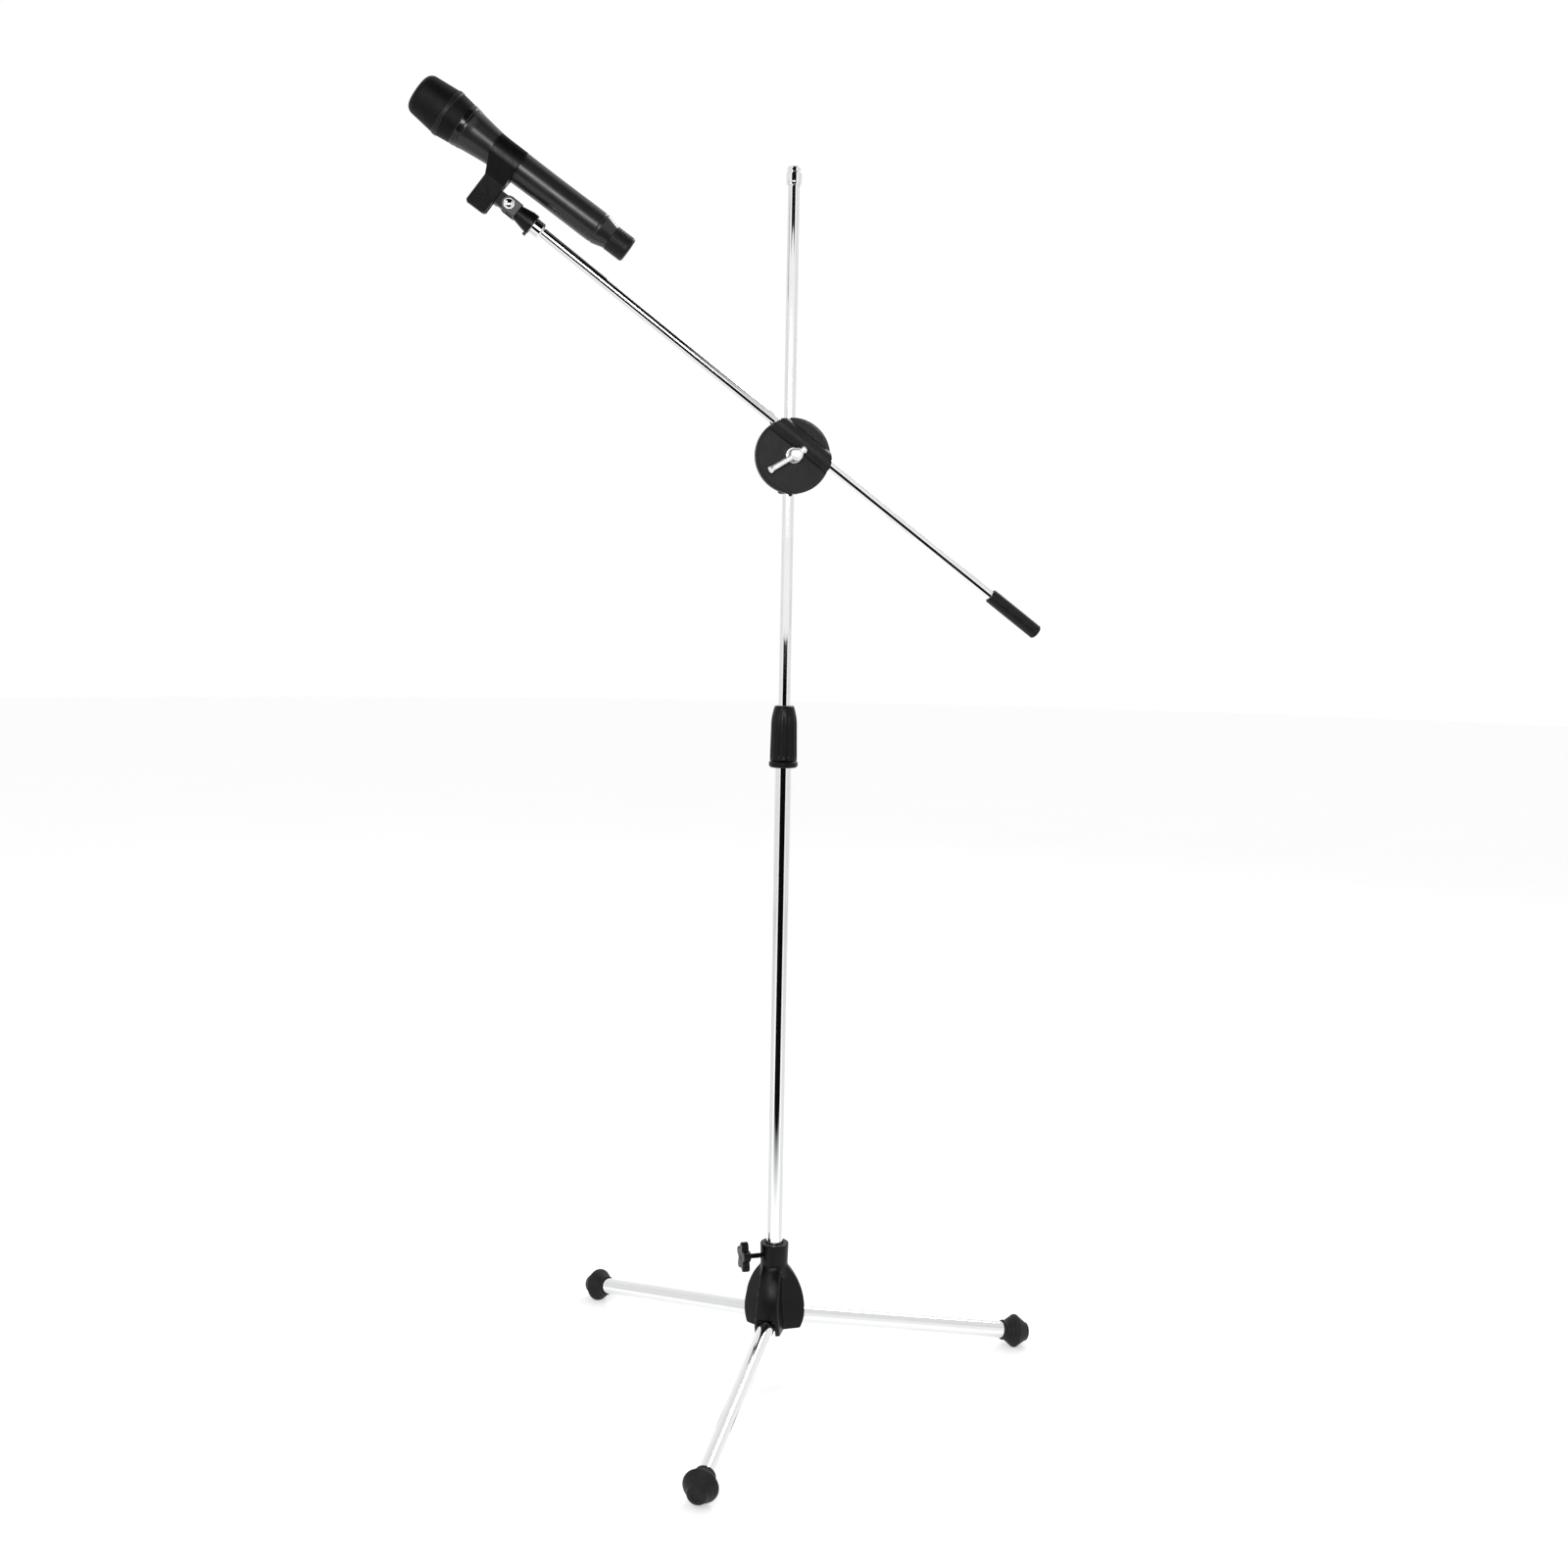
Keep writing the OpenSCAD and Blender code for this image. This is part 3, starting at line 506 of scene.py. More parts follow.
def hub_radius(angle, z, lobe_angles, neck_low, neck_high, neck_top):
    """The shell's outer radius: the lobes, joined softly, with the neck rising out of them."""
    half = between(LOBE_HALVES, z)
    radius = 0
    for lobe in lobe_angles:
        off = angle - lobe
        if math.cos(off) < 0.2:
            continue
        side = half / max(abs(math.sin(off)), 1e-3)
        lobe_radius = smooth_least(hub_curve(min(z, HUB_SHOULDER)), side, 1.6)
        radius = smooth_most(radius, lobe_radius, 1.4) if radius else lobe_radius
    if z < NECK_FOOT - 8:
        return radius
    grow = (z - NECK_FOOT) / (neck_top - NECK_FOOT)
    neck = neck_low + (neck_high - neck_low) * max(0, min(1, grow))
    if z > HUB_SHOULDER:
        return neck
    return smooth_most(radius, neck, 2.4)


def hub_piece():
    """The three-lobed shell as one skin: arches round the legs, a neck above, hollow below."""
    low, top = (x / MM for x in span("hub_shell", ORIGIN, UP))
    bore = reach("lower_tube", ORIGIN, UP) / MM + 0.1
    legs = [math.atan2(place(n + "_leg_fold").y, place(n + "_leg_fold").x) for n in LEGS]
    arch_top = place("right_leg_fold").z / MM + 6.8
    neck_high = 14
    arch_columns, side_columns = 12, 44

    def opening(z):
        """Half angle of the leg's arch."""
        corner = 4.0
        rise = max(0, z - (arch_top - corner)) / corner
        half = SLOT_HALF - 3.4 * (1 - math.sqrt(max(0, 1 - rise * rise)))
        return math.asin(half / hub_curve(z))

    def angles(z):
        """Column angles at a height, leg by leg: across the arch, then to the next leg."""
        edge = opening(min(z, arch_top))
        out = []
        for leg in legs:
            out += [leg - edge + 2 * edge * k / arch_columns for k in range(arch_columns)]
            gap = 2 * math.pi / 3 - 2 * edge
            out += [leg + edge + gap * k / side_columns for k in range(side_columns)]
        return out

    per_leg = arch_columns + side_columns
    arch_rows = [low + (arch_top - low) * math.sin(k / 14 * math.pi / 2) for k in range(15)]
    upper_rows = [arch_top + (111.5 - arch_top) * k / 44 for k in range(1, 45)]
    neck_rows = [113, 118, 124, top - 1.0]
    points, rows = [], []

    def add_row(z, radius_at):
        row = []
        for a in angles(z):
            r = radius_at(a)
            row.append(len(points))
            points.append(Vector((r * math.cos(a), r * math.sin(a), z)) * MM)
        rows.append(row)

    def skin(z, inset):
        args = (legs, 13.2, neck_high, top)
        return lambda a: hub_radius(a, z, *args) - inset

    for z in arch_rows + upper_rows + neck_rows:
        add_row(z, skin(z, 0))
    rim = [(neck_high - 0.3, top - 0.35), (neck_high - 0.9, top)]
    rim += [(bore + 2.2, top), (bore + 1.2, top - 0.4), (bore, top - 1.6), (bore, HUB_ROOF)]
    for r, z in rim:
        add_row(z, lambda a, r=r: r)
    inner_upper = [z for z in upper_rows if z < HUB_ROOF - 1][::-1]
    add_row(HUB_ROOF, skin(HUB_ROOF - 1, HUB_WALL))
    for z in inner_upper + arch_rows[::-1]:
        add_row(z, skin(z, HUB_WALL))

    open_rows = len(arch_rows)
    total = len(rows)
    faces = []
    for j in range(total - 1):
        lower_part = j < open_rows - 1 or j >= total - open_rows
        for k in range(3 * per_leg):
            if lower_part and k % per_leg < arch_columns:
                continue
            n = (k + 1) % (3 * per_leg)
            faces.append([rows[j][k], rows[j][n], rows[j + 1][n], rows[j + 1][k]])
    outer_of = {j: total - 1 - j for j in range(open_rows)}
    for leg in range(3):
        first = leg * per_leg + arch_columns
        last = (leg * per_leg + per_leg) % (3 * per_leg)
        for k in range(side_columns):
            a, b = first + k, (first + k + 1) % (3 * per_leg)
            faces.append([rows[0][a], rows[0][b], rows[outer_of[0]][b], rows[outer_of[0]][a]])
        for column in (first, last):
            for j in range(open_rows - 1):
                inner, inner_next = rows[outer_of[j]], rows[outer_of[j + 1]]
                faces.append(
                    [rows[j][column], rows[j + 1][column], inner_next[column], inner[column]]
                )
        arch = open_rows - 1
        for k in range(leg * per_leg, first):
            outer, inner = rows[arch], rows[outer_of[arch]]
            faces.append([outer[k], outer[k + 1], inner[k + 1], inner[k]])
    piece = mesh_piece("hub_moulding", points, faces, sharp=70)
    used = bmesh.new()
    used.from_mesh(piece.data)
    loose = [v for v in used.verts if not v.link_faces]
    bmesh.ops.delete(used, geom=loose, context="VERTS")
    used.to_mesh(piece.data)
    used.free()
    ease_edges(piece, 0.55, 3, angle=60)
    finish_piece(piece, "hub", "black_plastic", ["hub_shell"])


def leg_axis(name):
    """A point on the leg's axis and its outward direction."""
    start = place(name + "_leg_fold")
    return start, (middle(name + "_leg_tube") - start).normalized()


def foot_piece(name):
    """Rubber foot: two grooved cones back to back. It is flat where it rests."""
    start, axis = leg_axis(name)
    node = name + "_foot"
    low, high = (x / MM for x in span(node, start, axis))
    wide = reach(node, start, axis) / MM
    lip, waist, nose = wide * 0.6, wide * 0.575, wide * 0.58
    belly = (low + high) / 2 - 0.1
    bore = reach(name + "_leg_tube", start, axis) / MM
    profile = [(bore, low + 2), (bore, low + 0.3, 0.2), (lip - 0.2, low, 0.6)]
    profile += [(lip, low + 1.4, 0.5), (waist, low + 3.4, 0.8)]
    for share in (0.3, 0.62):
        r = waist + (wide - waist) * share
        s = low + 3.4 + (belly - low - 3.4) * share
        profile += [(r - 0.25, s - 0.5), (r - 0.55, s, 0.3), (r + 0.28, s + 0.5, 0.2)]
    profile += [(wide + 0.35, belly, 2.6)]
    for share in (0.4, 0.72):
        r = wide + (nose - wide) * share
        s = belly + (high - 3.6 - belly) * share
        profile += [(r + 0.28, s - 0.5, 0.2), (r - 0.55, s, 0.3), (r - 0.25, s + 0.5)]
    profile += [(nose, high - 3.8, 0.8), (nose - 0.7, high - 1.2, 1.4), (nose - 3.6, high, 1.5)]
    profile += [(4.2, high, 0.3), (3.9, high - 0.7, 0.3), (0, high - 0.7)]
    piece = revolve(node + "_moulding", rounded(profile), axis_frame(start, axis), 80)
    for vertex in piece.data.vertices:
        vertex.co.z = max(vertex.co.z, 0)
    finish_piece(piece, name + "_leg", "foot_rubber", [node])


def thumb_knob_piece():
    """Lobed knob with a recessed face, on a threaded screw."""
    axis = direction("thumb_screw_turn")
    start = ORIGIN + UP * place("thumb_screw_turn").z
    matrix = axis_frame(start, axis)
    low, high = (x / MM for x in span("thumb_knob", start, axis))
    wide = reach("thumb_knob", start, axis) / MM
    face = high - 7.2
    lobes, steps = 5, 120
    outline = []
    for k in range(steps):
        a = 2 * math.pi * k / steps
        wave = math.cos(lobes * a)
        r = wide - 1.7 + 1.7 * wave - 0.5 * (1 - wave) ** 2
        outline.append((r * math.cos(a), r * math.sin(a)))
    knob = prism("thumb_knob_star", outline, face, high, matrix, 1.1, 4)
    finish_piece(knob, "thumb_screw", "black_plastic", ["thumb_knob"])
    boss = [(2.6, low, 0.3), (5, low, 0.5), (5, face - 0.6, 0.5)]
    boss += [(7.5, face + 0.2), (2.6, face + 0.2)]
    finish_piece(revolve("thumb_knob_boss", rounded(boss, True), matrix, 48, closed=True),
                 "thumb_screw", "black_plastic")
    cap = [(0, high), (3.2, high, 0.3), (4.6, high - 0.5, 0.3)]
    cap += [(4.6, high - 1.5), (0, high - 1.5)]
    finish_piece(revolve("thumb_knob_cap", rounded(cap), matrix, 48),
                 "thumb_screw", "soft_plastic")
    screw_low, screw_high = (x / MM for x in span("thumb_screw", start, axis))
    r = reach("thumb_screw", start, axis) / MM
    screw = threaded("thumb_screw_thread", r, screw_low, screw_high, 0.8, 0.42, matrix)
    finish_piece(screw, "thumb_screw", "black_steel", ["thumb_screw"])


def base():
    hub_piece()
    eased_copy("leg_hinge_block", width=0.5)
    for name in LEGS:
        start, axis = leg_axis(name)
        tube(name + "_leg_tube", start, axis)
        eased_copy(name + "_leg_end", width=0.4)
        foot_piece(name)
    thumb_knob_piece()


# ---- Pole ----
FLUTES = 18


def clutch_pieces():
    """The base ring on the lower tube and the fluted sleeve that grips the upper one."""
    matrix = Matrix.Identity(4)
    low, high = (x / MM for x in span("clutch_base", ORIGIN, UP))
    wide = reach("clutch_base", ORIGIN, UP) / MM
    tube_r = reach("lower_tube", ORIGIN, UP) / MM
    ring_top = low + 6
    base_profile = [
        (tube_r, low + 0.1), (wide - 1.6, low, 0.4), (wide, low + 1.5, 0.8),
        (wide, low + 3.4, 0.2), (wide - 0.35, low + 3.7, 0.1), (wide, low + 4.0, 0.2),
        (wide, ring_top - 0.9, 0.5), (wide - 1, ring_top, 0.3), (10.4, ring_top, 0.2),
        (10.4, high), (6.35, high), (6.35, low + 14), (tube_r, low + 14),
    ]
    ring = revolve("clutch_base_ring", rounded(base_profile, True), matrix, 96, closed=True)
    finish_piece(ring, "lower_pole", "black_plastic", ["clutch_base"])

    low, high = (x / MM for x in span("clutch_sleeve", ORIGIN, UP))
    foot = reach("clutch_sleeve", ORIGIN, UP) / MM
    shoulder, arc = low + 33.5, 62.3
    skin = [(foot - 2.4, low), (foot - 0.7, low), (foot - 0.15, low + 0.35), (foot, low + 0.9)]
    skin += [(foot - 0.02 * k, low + 0.9 + 1.1 * k) for k in range(1, 30)]
    top_r = skin[-1][0]
    reach_up = high - 0.8 - shoulder
    for k in range(1, 15):
        z = reach_up * k / 14
        skin.append((top_r - arc + math.sqrt(arc * arc - z * z), shoulder + z))
    crown = skin[-1][0]
    skin += [(crown - 0.5, high - 0.25), (crown - 1.3, high), (7.2, high), (6.5, high - 0.5)]
    skin += [(6.4, high - 5)]

    def fluted(r, z, a):
        if not low + 2 < z < high - 7 or r < 9:
            return r
        depth = 0.75 * min(1, (z - low - 2) / 3, (high - 7 - z) / 8)
        wave = max(0, math.cos(FLUTES * a) - 0.05)
        return r - depth * wave ** 0.8

    sleeve = rippled("clutch_sleeve_fluted", skin, matrix, fluted, FLUTES * 14, sharp=50)
    finish_piece(sleeve, "clutch_nut", "black_plastic", ["clutch_sleeve"])


def stud_piece():
    """Threaded stud at the top of the pole, with its plain collar."""
    low, high = (x / MM for x in span("pole_stud", ORIGIN, UP))
    wide = reach("pole_stud", ORIGIN, UP) / MM
    shoulder = high - 18.2
    pilot = 7
    profile = [
        (0, low + 1), (4.9, low + 1, 0.4), (4.9, shoulder, 0), (pilot - 0.4, shoulder, 0.3),
        (wide, shoulder + 2.5, 0.6), (wide, high - 6.2, 0.5), (pilot, high - 5.2, 0.4),
        (pilot, high - 1.2, 0.4), (pilot - 1, high, 0.3), (4.6, high, 0.3), (4.2, high - 0.6, 0.3),
        (0, high - 0.9),
    ]
    piece = revolve("pole_stud_turned", rounded(profile), Matrix.Identity(4), 96)
    finish_piece(piece, "upper_pole", "chrome", ["pole_stud"])


def pole():
    tube("lower_tube", ORIGIN, UP)
    tube("upper_tube", ORIGIN, UP)
    clutch_pieces()
    stud_piece()


# ---- Clamp ----
def clamp():
    """The round clamp, its bolt and the bar that slides through the bolt's head."""
    eased_copy("rear_clamp", "grained_plastic", width=0.7, steps=3)
    eased_copy("front_disc", "grained_plastic", width=0.7, steps=3)
    eased_copy("friction_washer", width=0.2)
    eased_copy("clamp_washer", width=0.15)
    centre = place("boom_tilt")
    axis = direction("clamp_screw_turn")
    start = Vector((0, 0, centre.z))
    matrix = axis_frame(start, axis)
    low, high = (x / MM for x in span("clamp_bolt", start, axis))
    boss = reach("clamp_bolt", start, axis) / MM
    shank = 3.95
    washer_top = span("clamp_washer", start, axis)[1] / MM
    head = [
        (0, high, 0), (boss - 2.6, high, 0.9), (boss - 0.2, high - 1.7, 1.2),
        (boss, washer_top + 4, 0.8), (boss - 0.5, washer_top + 2.2, 0.5),
        (boss, washer_top + 0.9, 0.4), (boss - 0.6, washer_top, 0.3), (shank, washer_top, 0.2),
    ]
    finish_piece(revolve("clamp_bolt_head", rounded(head), matrix, 72),
                 "clamp_screw", "satin_chrome", ["clamp_bolt"])
    shank_piece = threaded("clamp_bolt_thread", shank, low, washer_top + 0.4, 1.25, 0.6, matrix)
    finish_piece(shank_piece, "clamp_screw", "chrome")

    bar_axis = direction("t_bar_slide")
    bar_centre = middle("t_bar")
    low, high = (x / MM for x in span("t_bar", bar_centre, bar_axis))
    end_r = reach("t_bar", bar_centre, bar_axis) / MM
    bar_r = 2.5
    bar = [(0, low, 0), (end_r - 1, low, 0.4), (end_r, low + 1.2, 0.7)]
    bar += [(end_r - 0.1, low + 2.4, 0.8), (bar_r, low + 4.4, 1.4), (bar_r, high - 4.4, 1.4)]
    bar += [(end_r - 0.1, high - 2.4, 0.8), (end_r, high - 1.2, 0.7)]
    bar += [(end_r - 1, high, 0.4), (0, high, 0)]
    finish_piece(revolve("t_bar_turned", rounded(bar), axis_frame(bar_centre, bar_axis), 48),
                 "t_bar", "satin_chrome", ["t_bar"])


# ---- Boom ----
TAILWARD = -direction("boom_slide")


def boom():
    """The boom tube with its tail grip and the threaded collar at the microphone's end."""
    start = place("clip_swivel")
    tube("boom_tube", start, TAILWARD, ease=0.3)
    matrix = axis_frame(start, TAILWARD)
    low, high = (x / MM for x in span("boom_grip", start, TAILWARD))
    r = reach("boom_grip", start, TAILWARD) / MM
    grip = [
        (5, low + 0.2), (r - 0.9, low, 0.5), (r, low + 1.3, 0.7), (r, low + 3.2, 0.3),
        (r - 0.4, low + 3.7, 0.2), (r - 0.05, low + 4.2, 0.3), (r - 0.05, high - 5, 0.3),
        (r - 0.4, high - 4.5, 0.2), (r, high - 4, 0.3), (r, high - 1.6, 1.0), (r - 1.8, high, 0.8),
        (3, high, 0.3), (2.6, high - 0.5, 0.2), (0, high - 0.5),
    ]
    finish_piece(revolve("boom_grip_dipped", rounded(grip), matrix, 72),
                 "boom", "grip_rubber", ["boom_grip"])

    low, high = (x / MM for x in span("boom_stud", start, TAILWARD))
    r = reach("boom_stud", start, TAILWARD) / MM
    tube_start = span("boom_tube", start, TAILWARD)[0] / MM
    shoulder = span("clip_base", start, TAILWARD)[1] / MM
    collar = [
        (r - 0.7, shoulder - 0.2), (r, shoulder + 0.6, 0.4), (r, tube_start - 1.4, 0.7),
        (r - 1.6, tube_start - 0.1, 0.4), (5.1, tube_start, 0.2), (4, tube_start),
        (4, shoulder - 0.2),
    ]
    finish_piece(revolve("boom_stud_collar", rounded(collar, True), matrix, 72, closed=True),
                 "boom", "chrome", ["boom_stud"])
    thread = threaded("boom_stud_thread", r - 0.05, low, shoulder + 0.3, 0.94, 0.5, matrix)
    finish_piece(thread, "boom", "chrome")


# ---- Clip ----
def spring_piece():
    """Torsion spring round the clip's hinge pin, its legs against the two levers."""
    axis = direction("jaw_squeeze")
    start = place("jaw_squeeze")
    low, high = span("clip_spring", start, axis)
    side = Vector((0, 1, 0))
    up = axis.cross(side)
    wire, coil, leg = 0.32, 2.3, 5.5
    turns, steps = 4, 28
    last = turns * steps + steps // 2
    path = [start + axis * low + side * coil * MM - up * leg * MM]
    for k in range(last + 1):
        a = 2 * math.pi * k / steps
        travel = low + wire * MM + (high - low - 2 * wire * MM) * k / last
        around = side * math.cos(a) + up * math.sin(a)
        path.append(start + axis * travel + around * coil * MM)
    path.append(start + axis * high - side * coil * MM - up * leg * MM)
    finish_piece(swept("clip_spring_coil", path, wire), "clip_body", "steel", ["clip_spring"])


def cheek_faces():
    """The flat cheeks either side of the swivel, each with a raised rim round the bolt. Their light grey plastic
    is a painted sheen that stands in for the light the flat faces reflect.
    """
    start = place("clip_swivel")
    reach_y = span("swivel_washer", start, Vector((0, -1, 0)))[0] / MM
    length, half, round_r = 10.4, 6.7, 6.8
    outline = [(length, -half), (length, half), (0, half)]
    for t in [math.pi * k / 24 for k in range(1, 24)]:
        outline.append((-round_r * math.sin(t), round_r * math.cos(t)))
    outline += [(0, -half)]
    for side in (-1, 1):
        matrix = axis_frame(start, Vector((0, side, 0)), TAILWARD)
        shape = outline if side < 0 else [(x, -y) for x, y in outline]
        face = prism("clip_cheek_%s" % ("front" if side < 0 else "back"), shape,
                     reach_y - 1.2, reach_y + 0.12, matrix, 0.3, 2)
        # Painted sheen: the lighter grey plastic stands in for light reflected off the flat cheek.
        finish_piece(face, "clip_base", "swivel_plastic")


def clip():
    """The clothes-peg clip on its swivel."""
    eased_copy("clip_base", width=0.45, steps=3)
    cheek_faces()
    eased_copy("clip_fixed_jaw", width=0.45, steps=3)
    eased_copy("clip_moving_jaw", width=0.45, steps=3)
    eased_copy("fixed_jaw_pad", width=0.2)
    eased_copy("moving_jaw_pad", width=0.2)
    eased_copy("swivel_nut", width=0.3)
    eased_copy("swivel_washer", width=0.12)
    spring_piece()
    start = place("clip_swivel")
    forward = Vector((0, -1, 0))
    low, high = (x / MM for x in span("swivel_bolt", start, forward))
    head = reach("swivel_bolt", start, forward) / MM
    under = high - 2.25
    brim = under + 0.3
    dome = [(0, high, 0)]
    for t in [math.pi * k / 16 for k in range(1, 8)]:
        dome.append((head * math.sin(t), brim + (high - brim) * math.cos(t)))
    dome += [(head, brim, 0.1), (head - 0.2, under, 0.1), (2.5, under, 0.1), (2.5, low, 0.3)]
    dome += [(0, low)]
    piece = revolve("swivel_bolt_dome", rounded(dome), axis_frame(start, forward), 64)
    finish_piece(piece, "clip_base", "chrome", ["swivel_bolt"])


# ---- Microphone ----
WIRE_PITCH = 1.45
WIRE_RELIEF = 0.3
WIRES_ROUND = 92
WEAVE_STEP = 0.36


def weave(r, z, a):
    """Radius of a plain weave laid over a turned shape: wires pass over and under in turn."""
    warp = math.sin(WIRES_ROUND * a / 2)
    weft = math.sin(math.pi * z / WIRE_PITCH)
    over = math.copysign(1, warp * weft)
    crown = abs(warp) ** 0.5 * (0.62 + 0.38 * over) + abs(weft) ** 0.5 * (0.62 - 0.38 * over)
    return r - WIRE_RELIEF * (1 - min(1, crown / 1.24))


def microphone():
    """The handheld microphone, measured in millimetres from the front of its mesh."""
    axis = -direction("microphone_slide")
    axis_point = middle("mic_body")
    front = span("mic_grille", axis_point, axis)[0]
    start = axis_point + axis * front
    matrix = axis_frame(start, axis)

    def at(node):
        return [x / MM for x in span(node, start, axis)]

    ring_low, ring_high = at("mic_grille_ring")
    wide = reach("mic_grille_ring", start, axis) / MM
    mesh_r = reach("mic_grille", start, axis) / MM - 0.05
    corner_r, corner = 12.9, 7.5
    profile = [(0.4 + 0.47 * k, 0.15 * (k / 26) ** 2) for k in range(27)]
    profile += [
        (corner_r + corner * math.sin(t), 8.6 - 8.45 * math.cos(t))
        for t in [math.radians(4 * k) for k in range(1, 21)]
    ]
    last_r, last_z = profile[-1]
    count = int((ring_low + 0.4 - last_z) / WEAVE_STEP)
    profile += [
        (last_r + (mesh_r - last_r) * k / count, last_z + (ring_low + 0.4 - last_z) * k / count)
        for k in range(1, count + 1)
    ]
    length, lengths = 0, []
    for i, point in enumerate(profile):
        if i:
            length += math.dist(point, profile[i - 1])
        lengths.append(length)
    length_at = {point[1]: so_far for point, so_far in zip(profile, lengths)}
    basket = rippled(
        "mic_basket", profile, matrix, lambda r, z, a: weave(r, length_at[z], a) if r > 2 else r,
        WIRES_ROUND * 5, sharp=180,
    )
    finish_piece(basket, "microphone", "grille_paint", ["mic_grille"])

    band = [
        (wide - 2.4, ring_low, 0), (wide - 0.5, ring_low, 0.4), (wide, ring_low + 0.8, 0.5),
        (wide, ring_high - 0.8, 0.5), (wide - 0.5, ring_high, 0.4), (wide - 2.4, ring_high, 0),
    ]
    finish_piece(revolve("mic_basket_band", rounded(band, True), matrix, 128, closed=True),
                 "microphone", "mic_plastic", ["mic_grille_ring"])

    low, high = at("mic_lower_grille")
    top_r = reach("mic_lower_grille", start, axis) / MM - 0.05
    count = int((high - low) / WEAVE_STEP)
    cone = [(top_r - 1.8 * k / count, low + (high - low) * k / count) for k in range(count + 1)]
    lower = rippled("mic_lower_basket", cone, matrix, weave, WIRES_ROUND * 5, sharp=180)
    finish_piece(lower, "microphone", "grille_paint", ["mic_lower_grille"])

    low, high = at("mic_collar")
    r = reach("mic_collar", start, axis) / MM
    collar = [
        (r - 2.8, low, 0), (r - 0.2, low, 0.2), (r, low + 0.8, 0.3), (r - 0.3, high - 1.7, 0.3),
        (r - 0.95, high - 1.2, 0.2), (r - 0.95, high, 0), (r - 2.8, high, 0),
    ]
    finish_piece(revolve("mic_collar_ring", rounded(collar, True), matrix, 128, closed=True),
                 "microphone", "mic_gloss", ["mic_collar"])

    low, high = at("mic_body")
    body_r = reach("mic_body", start, axis) / MM
    shape = [
        (body_r - 1.7, low, 0), (body_r - 0.25, low, 0.2), (body_r, low + 0.7, 0.3),
        (19.3, 61, 3), (17.6, 74, 5), (16.3, 84, 4), (15.8, 92, 4), (15.7, 105, 6),
        (15.4, 150, 10), (15.7, high - 8, 5), (15.6, high - 0.3, 0.2), (15.2, high, 0),
        (13.9, high, 0),
    ]
    skin = revolve("mic_body_shell", rounded(shape, steps=8), matrix, 128)
    finish_piece(skin, "microphone", "mic_paint", ["mic_body"])

    low, high = at("mic_tail_ring")
    neck = 12.1
    tail = [
        (13.9, low, 0), (15.45, low, 0.1), (15.6, low + 0.25, 0.1), (15.15, low + 0.8, 0.2),
        (15.15, low + 1.8, 0.2), (15.55, low + 2.6, 0.4), (14.8, low + 6, 2), (13, low + 12, 2),
        (neck, high, 0), (9.5, high, 0),
    ]
    finish_piece(revolve("mic_tail_cone", rounded(tail), matrix, 128),
                 "microphone", "mic_paint", ["mic_tail_ring"])

    low, high = at("mic_tail_cap")
    r = reach("mic_tail_cap", start, axis) / MM
    cap = [(9.5, low + 0.1, 0), (r - 0.3, low + 0.1, 0.2), (r, low + 0.6, 0.2)]
    for k in range(5):
        z = low + 2.6 + 2.6 * k
        cap += [(r, z, 0.2), (r - 0.3, z + 0.35, 0.15), (r, z + 0.7, 0.2)]
    cap += [(r, high - 1.6, 1.2), (r - 1.5, high, 0.8), (7, high, 0.3)]
    cap += [(6.6, high - 1, 0.3), (0, high - 1)]
    finish_piece(revolve("mic_tail_cap_ribbed", rounded(cap), matrix, 96),
                 "microphone", "mic_plastic", ["mic_tail_cap"])


base()
pole()
clamp()
boom()
clip()
microphone()


# ---- Stage, light and camera ----
VIEW_TURN = math.radians(-11)
CAMERA_DISTANCE = 1.703
CAMERA_HEIGHT = 0.757
CAMERA_ROLL = math.radians(1.06)
CAMERA_PITCH = math.radians(1.2)
FOCAL = 1.113
SHIFT_X = -0.001
SHIFT_Y = -0.0911
SENSOR = 36
VIEW_DIRECTION = Vector((-math.sin(VIEW_TURN), math.cos(VIEW_TURN), 0))
VIEW_RIGHT = Vector((math.cos(VIEW_TURN), math.sin(VIEW_TURN), 0))

FLOOR_GLOW = 0.42
FLOOR_TONE = 0.6
FLOOR_RADIUS = 12000
FLOOR_GAP = 0.2
CARD_DISTANCE = 2.0
SIDE_WALL = 2.6


def view_point(back, right, z):
    """A point given by its distance from the pole towards the camera, to the right, and up."""
    return VIEW_RIGHT * right - VIEW_DIRECTION * back + UP * z


def along(tree, direction):
    """How far the shaded point lies in a direction."""
    coords = tree.nodes.new("ShaderNodeTexCoord")
    dot = tree.nodes.new("ShaderNodeVectorMath")
    dot.operation = "DOT_PRODUCT"
    dot.inputs[1].default_value = direction
    tree.links.new(coords.outputs["Object"], dot.inputs[0])
    return dot.outputs["Value"]


def floor_material():
    material, tree, shader = new_material("studio_floor")
    patches = noise_node(tree, 3, 3)
    tone = ramp(tree, patches.outputs["Fac"], FLOOR_TONE * 0.985, FLOOR_TONE)
    tree.links.new(tone, shader.inputs["Base Color"])
    shader.inputs["Roughness"].default_value = 0.9
    shader.inputs["Specular IOR Level"].default_value = 0.1
    shader.inputs["Emission Color"].default_value = (1, 1, 1, 1)
    shader.inputs["Emission Strength"].default_value = FLOOR_GLOW
    return material


def card_material(name, tone, fade_from=None, fade_to=None):
    """Matt grey. With a fade it turns white towards the pole, between two distances from it."""
    material, tree, shader = new_material(name)
    shader.inputs["Roughness"].default_value = 1
    shader.inputs["Specular IOR Level"].default_value = 0
    if fade_from is None:
        shader.inputs["Base Color"].default_value = (tone, tone, tone, 1)
        return material
    share = along(tree, -VIEW_DIRECTION / CARD_DISTANCE)
    shade = ramp(tree, share, 0.95, tone, fade_to / CARD_DISTANCE, fade_from / CARD_DISTANCE)
    tree.links.new(shade, shader.inputs["Base Color"])
    return material


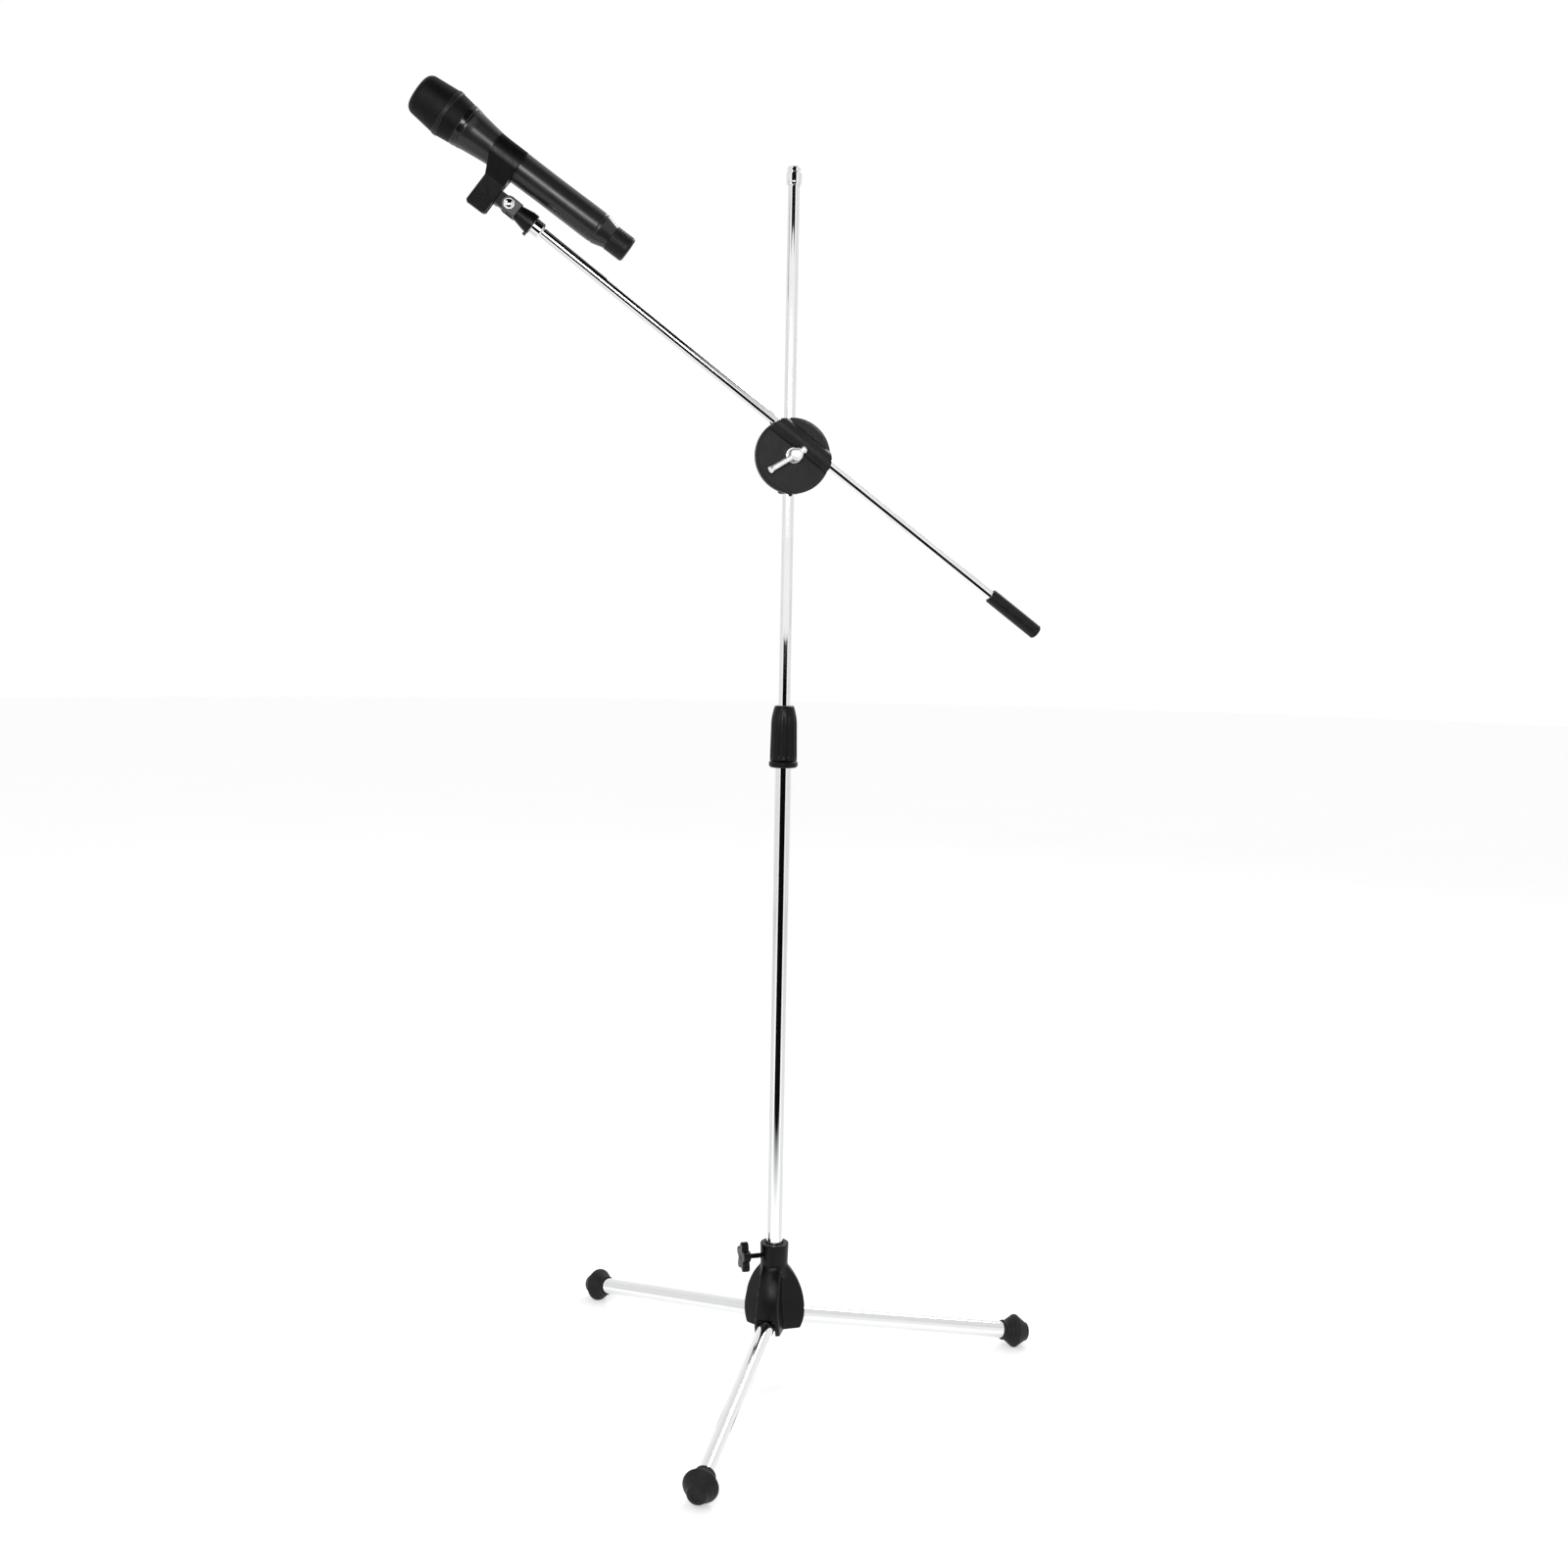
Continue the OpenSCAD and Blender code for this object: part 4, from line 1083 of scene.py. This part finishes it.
def card(name, corners, material):
    """A card that only reflections see. Corners are (back, right, z)."""
    sheet = mesh_piece(name, [view_point(*c) for c in corners], [[0, 1, 2, 3]])
    sheet.data.materials.append(material)
    for kind in ("camera", "diffuse", "transmission", "volume_scatter", "shadow"):
        setattr(sheet, "visible_" + kind, False)


def stage():
    """The floor, and the black and grey cards that give the chrome its reflections."""
    floor = revolve("studio_floor", [(0, -FLOOR_GAP), (FLOOR_RADIUS, -FLOOR_GAP)], Matrix.Identity(4), 64)
    floor.data.materials.append(floor_material())
    black = card_material("black_card", 0.003)
    grey = card_material("grey_card", 0.72)
    far, near = CARD_DISTANCE, 0.44
    wide, ceiling = 1.55, 2.6
    fading = card_material("fading_card", 0.003, 0.8, near)
    low_top, high_foot, high_half = 0.68, 1.55, 1.2
    card("card_low", [
        (far, -wide, 0), (far, wide, 0), (far, wide, low_top), (far, -wide, low_top),
    ], black)
    card("card_high", [
        (far, -high_half, high_foot), (far, high_half, high_foot),
        (far, wide, ceiling), (far, -wide, ceiling),
    ], black)
    card("card_top", [
        (far, -wide, ceiling), (far, wide, ceiling), (0.1, wide, ceiling), (0.1, -wide, ceiling),
    ], black)
    card("card_floor", [
        (near, -0.37, 0.002), (near, 0.37, 0.002), (far, wide, 0.002), (far, -wide, 0.002),
    ], fading)
    for side, edge in (("left", -1), ("right", 1)):
        wall, inner = edge * SIDE_WALL, edge * 0.35
        card("card_%s" % side, [
            (1.6, wall, 0), (-1.6, wall, 0), (-1.6, wall, 2.4), (1.6, wall, 2.4),
        ], grey)
        card("card_%s_floor" % side, [
            (1.6, wall, 0.001), (-1.6, wall, 0.001), (-0.2, inner, 0.001), (0.2, inner, 0.001),
        ], grey)


def softbox(name, spot, aim, size, power):
    """Rectangular soft lamp at a spot, turned to its aim."""
    data = bpy.data.lights.new(name, "AREA")
    data.shape = "RECTANGLE"
    data.size, data.size_y = size
    data.energy = power
    lamp = bpy.data.objects.new(name, data)
    lamp.location = spot
    lamp.rotation_euler = (aim - spot).to_track_quat("-Z", "Y").to_euler()
    bpy.context.scene.collection.objects.link(lamp)


def sky():
    """A white room with a slightly darker ceiling."""
    world = bpy.data.worlds.new("white_room")
    world.use_nodes = True
    bpy.context.scene.world = world
    tree = world.node_tree
    background = tree.nodes["Background"]
    ceiling = ramp(tree, along(tree, UP), 1.0, 0.84, 0.25, 0.7)
    tree.links.new(ceiling, background.inputs["Color"])
    background.inputs["Strength"].default_value = 1.03


def lights():
    target = Vector((0, 0, 0.6))
    softbox("key_softbox", view_point(1.8, -1.0, 2.1), target, (0.6, 0.6), 9)
    level = view_point(0, -0.2, 1.15)
    softbox("front_softbox", view_point(2.0, -0.2, 1.15), level, (1.3, 0.36), 20)
    softbox("rim_softbox", view_point(-1.6, 1.0, 2.3), target, (0.6, 0.9), 24)


def camera():
    data = bpy.data.cameras.new("camera")
    data.sensor_width = SENSOR
    data.lens = FOCAL * SENSOR
    data.shift_x = SHIFT_X
    data.shift_y = SHIFT_Y
    data.clip_start = 0.05
    data.clip_end = 60
    lens = bpy.data.objects.new("camera", data)
    spot = -VIEW_DIRECTION * CAMERA_DISTANCE + UP * CAMERA_HEIGHT
    turn = Matrix.Rotation(VIEW_TURN, 4, "Z")
    tilt = Matrix.Rotation(math.pi / 2 - CAMERA_PITCH, 4, "X")
    roll = Matrix.Rotation(CAMERA_ROLL, 4, "Z")
    lens.matrix_world = Matrix.Translation(spot) @ turn @ tilt @ roll
    bpy.context.scene.collection.objects.link(lens)
    bpy.context.scene.camera = lens


stage()
sky()
lights()
camera()
bpy.context.scene.view_settings.view_transform = "Standard"

import json
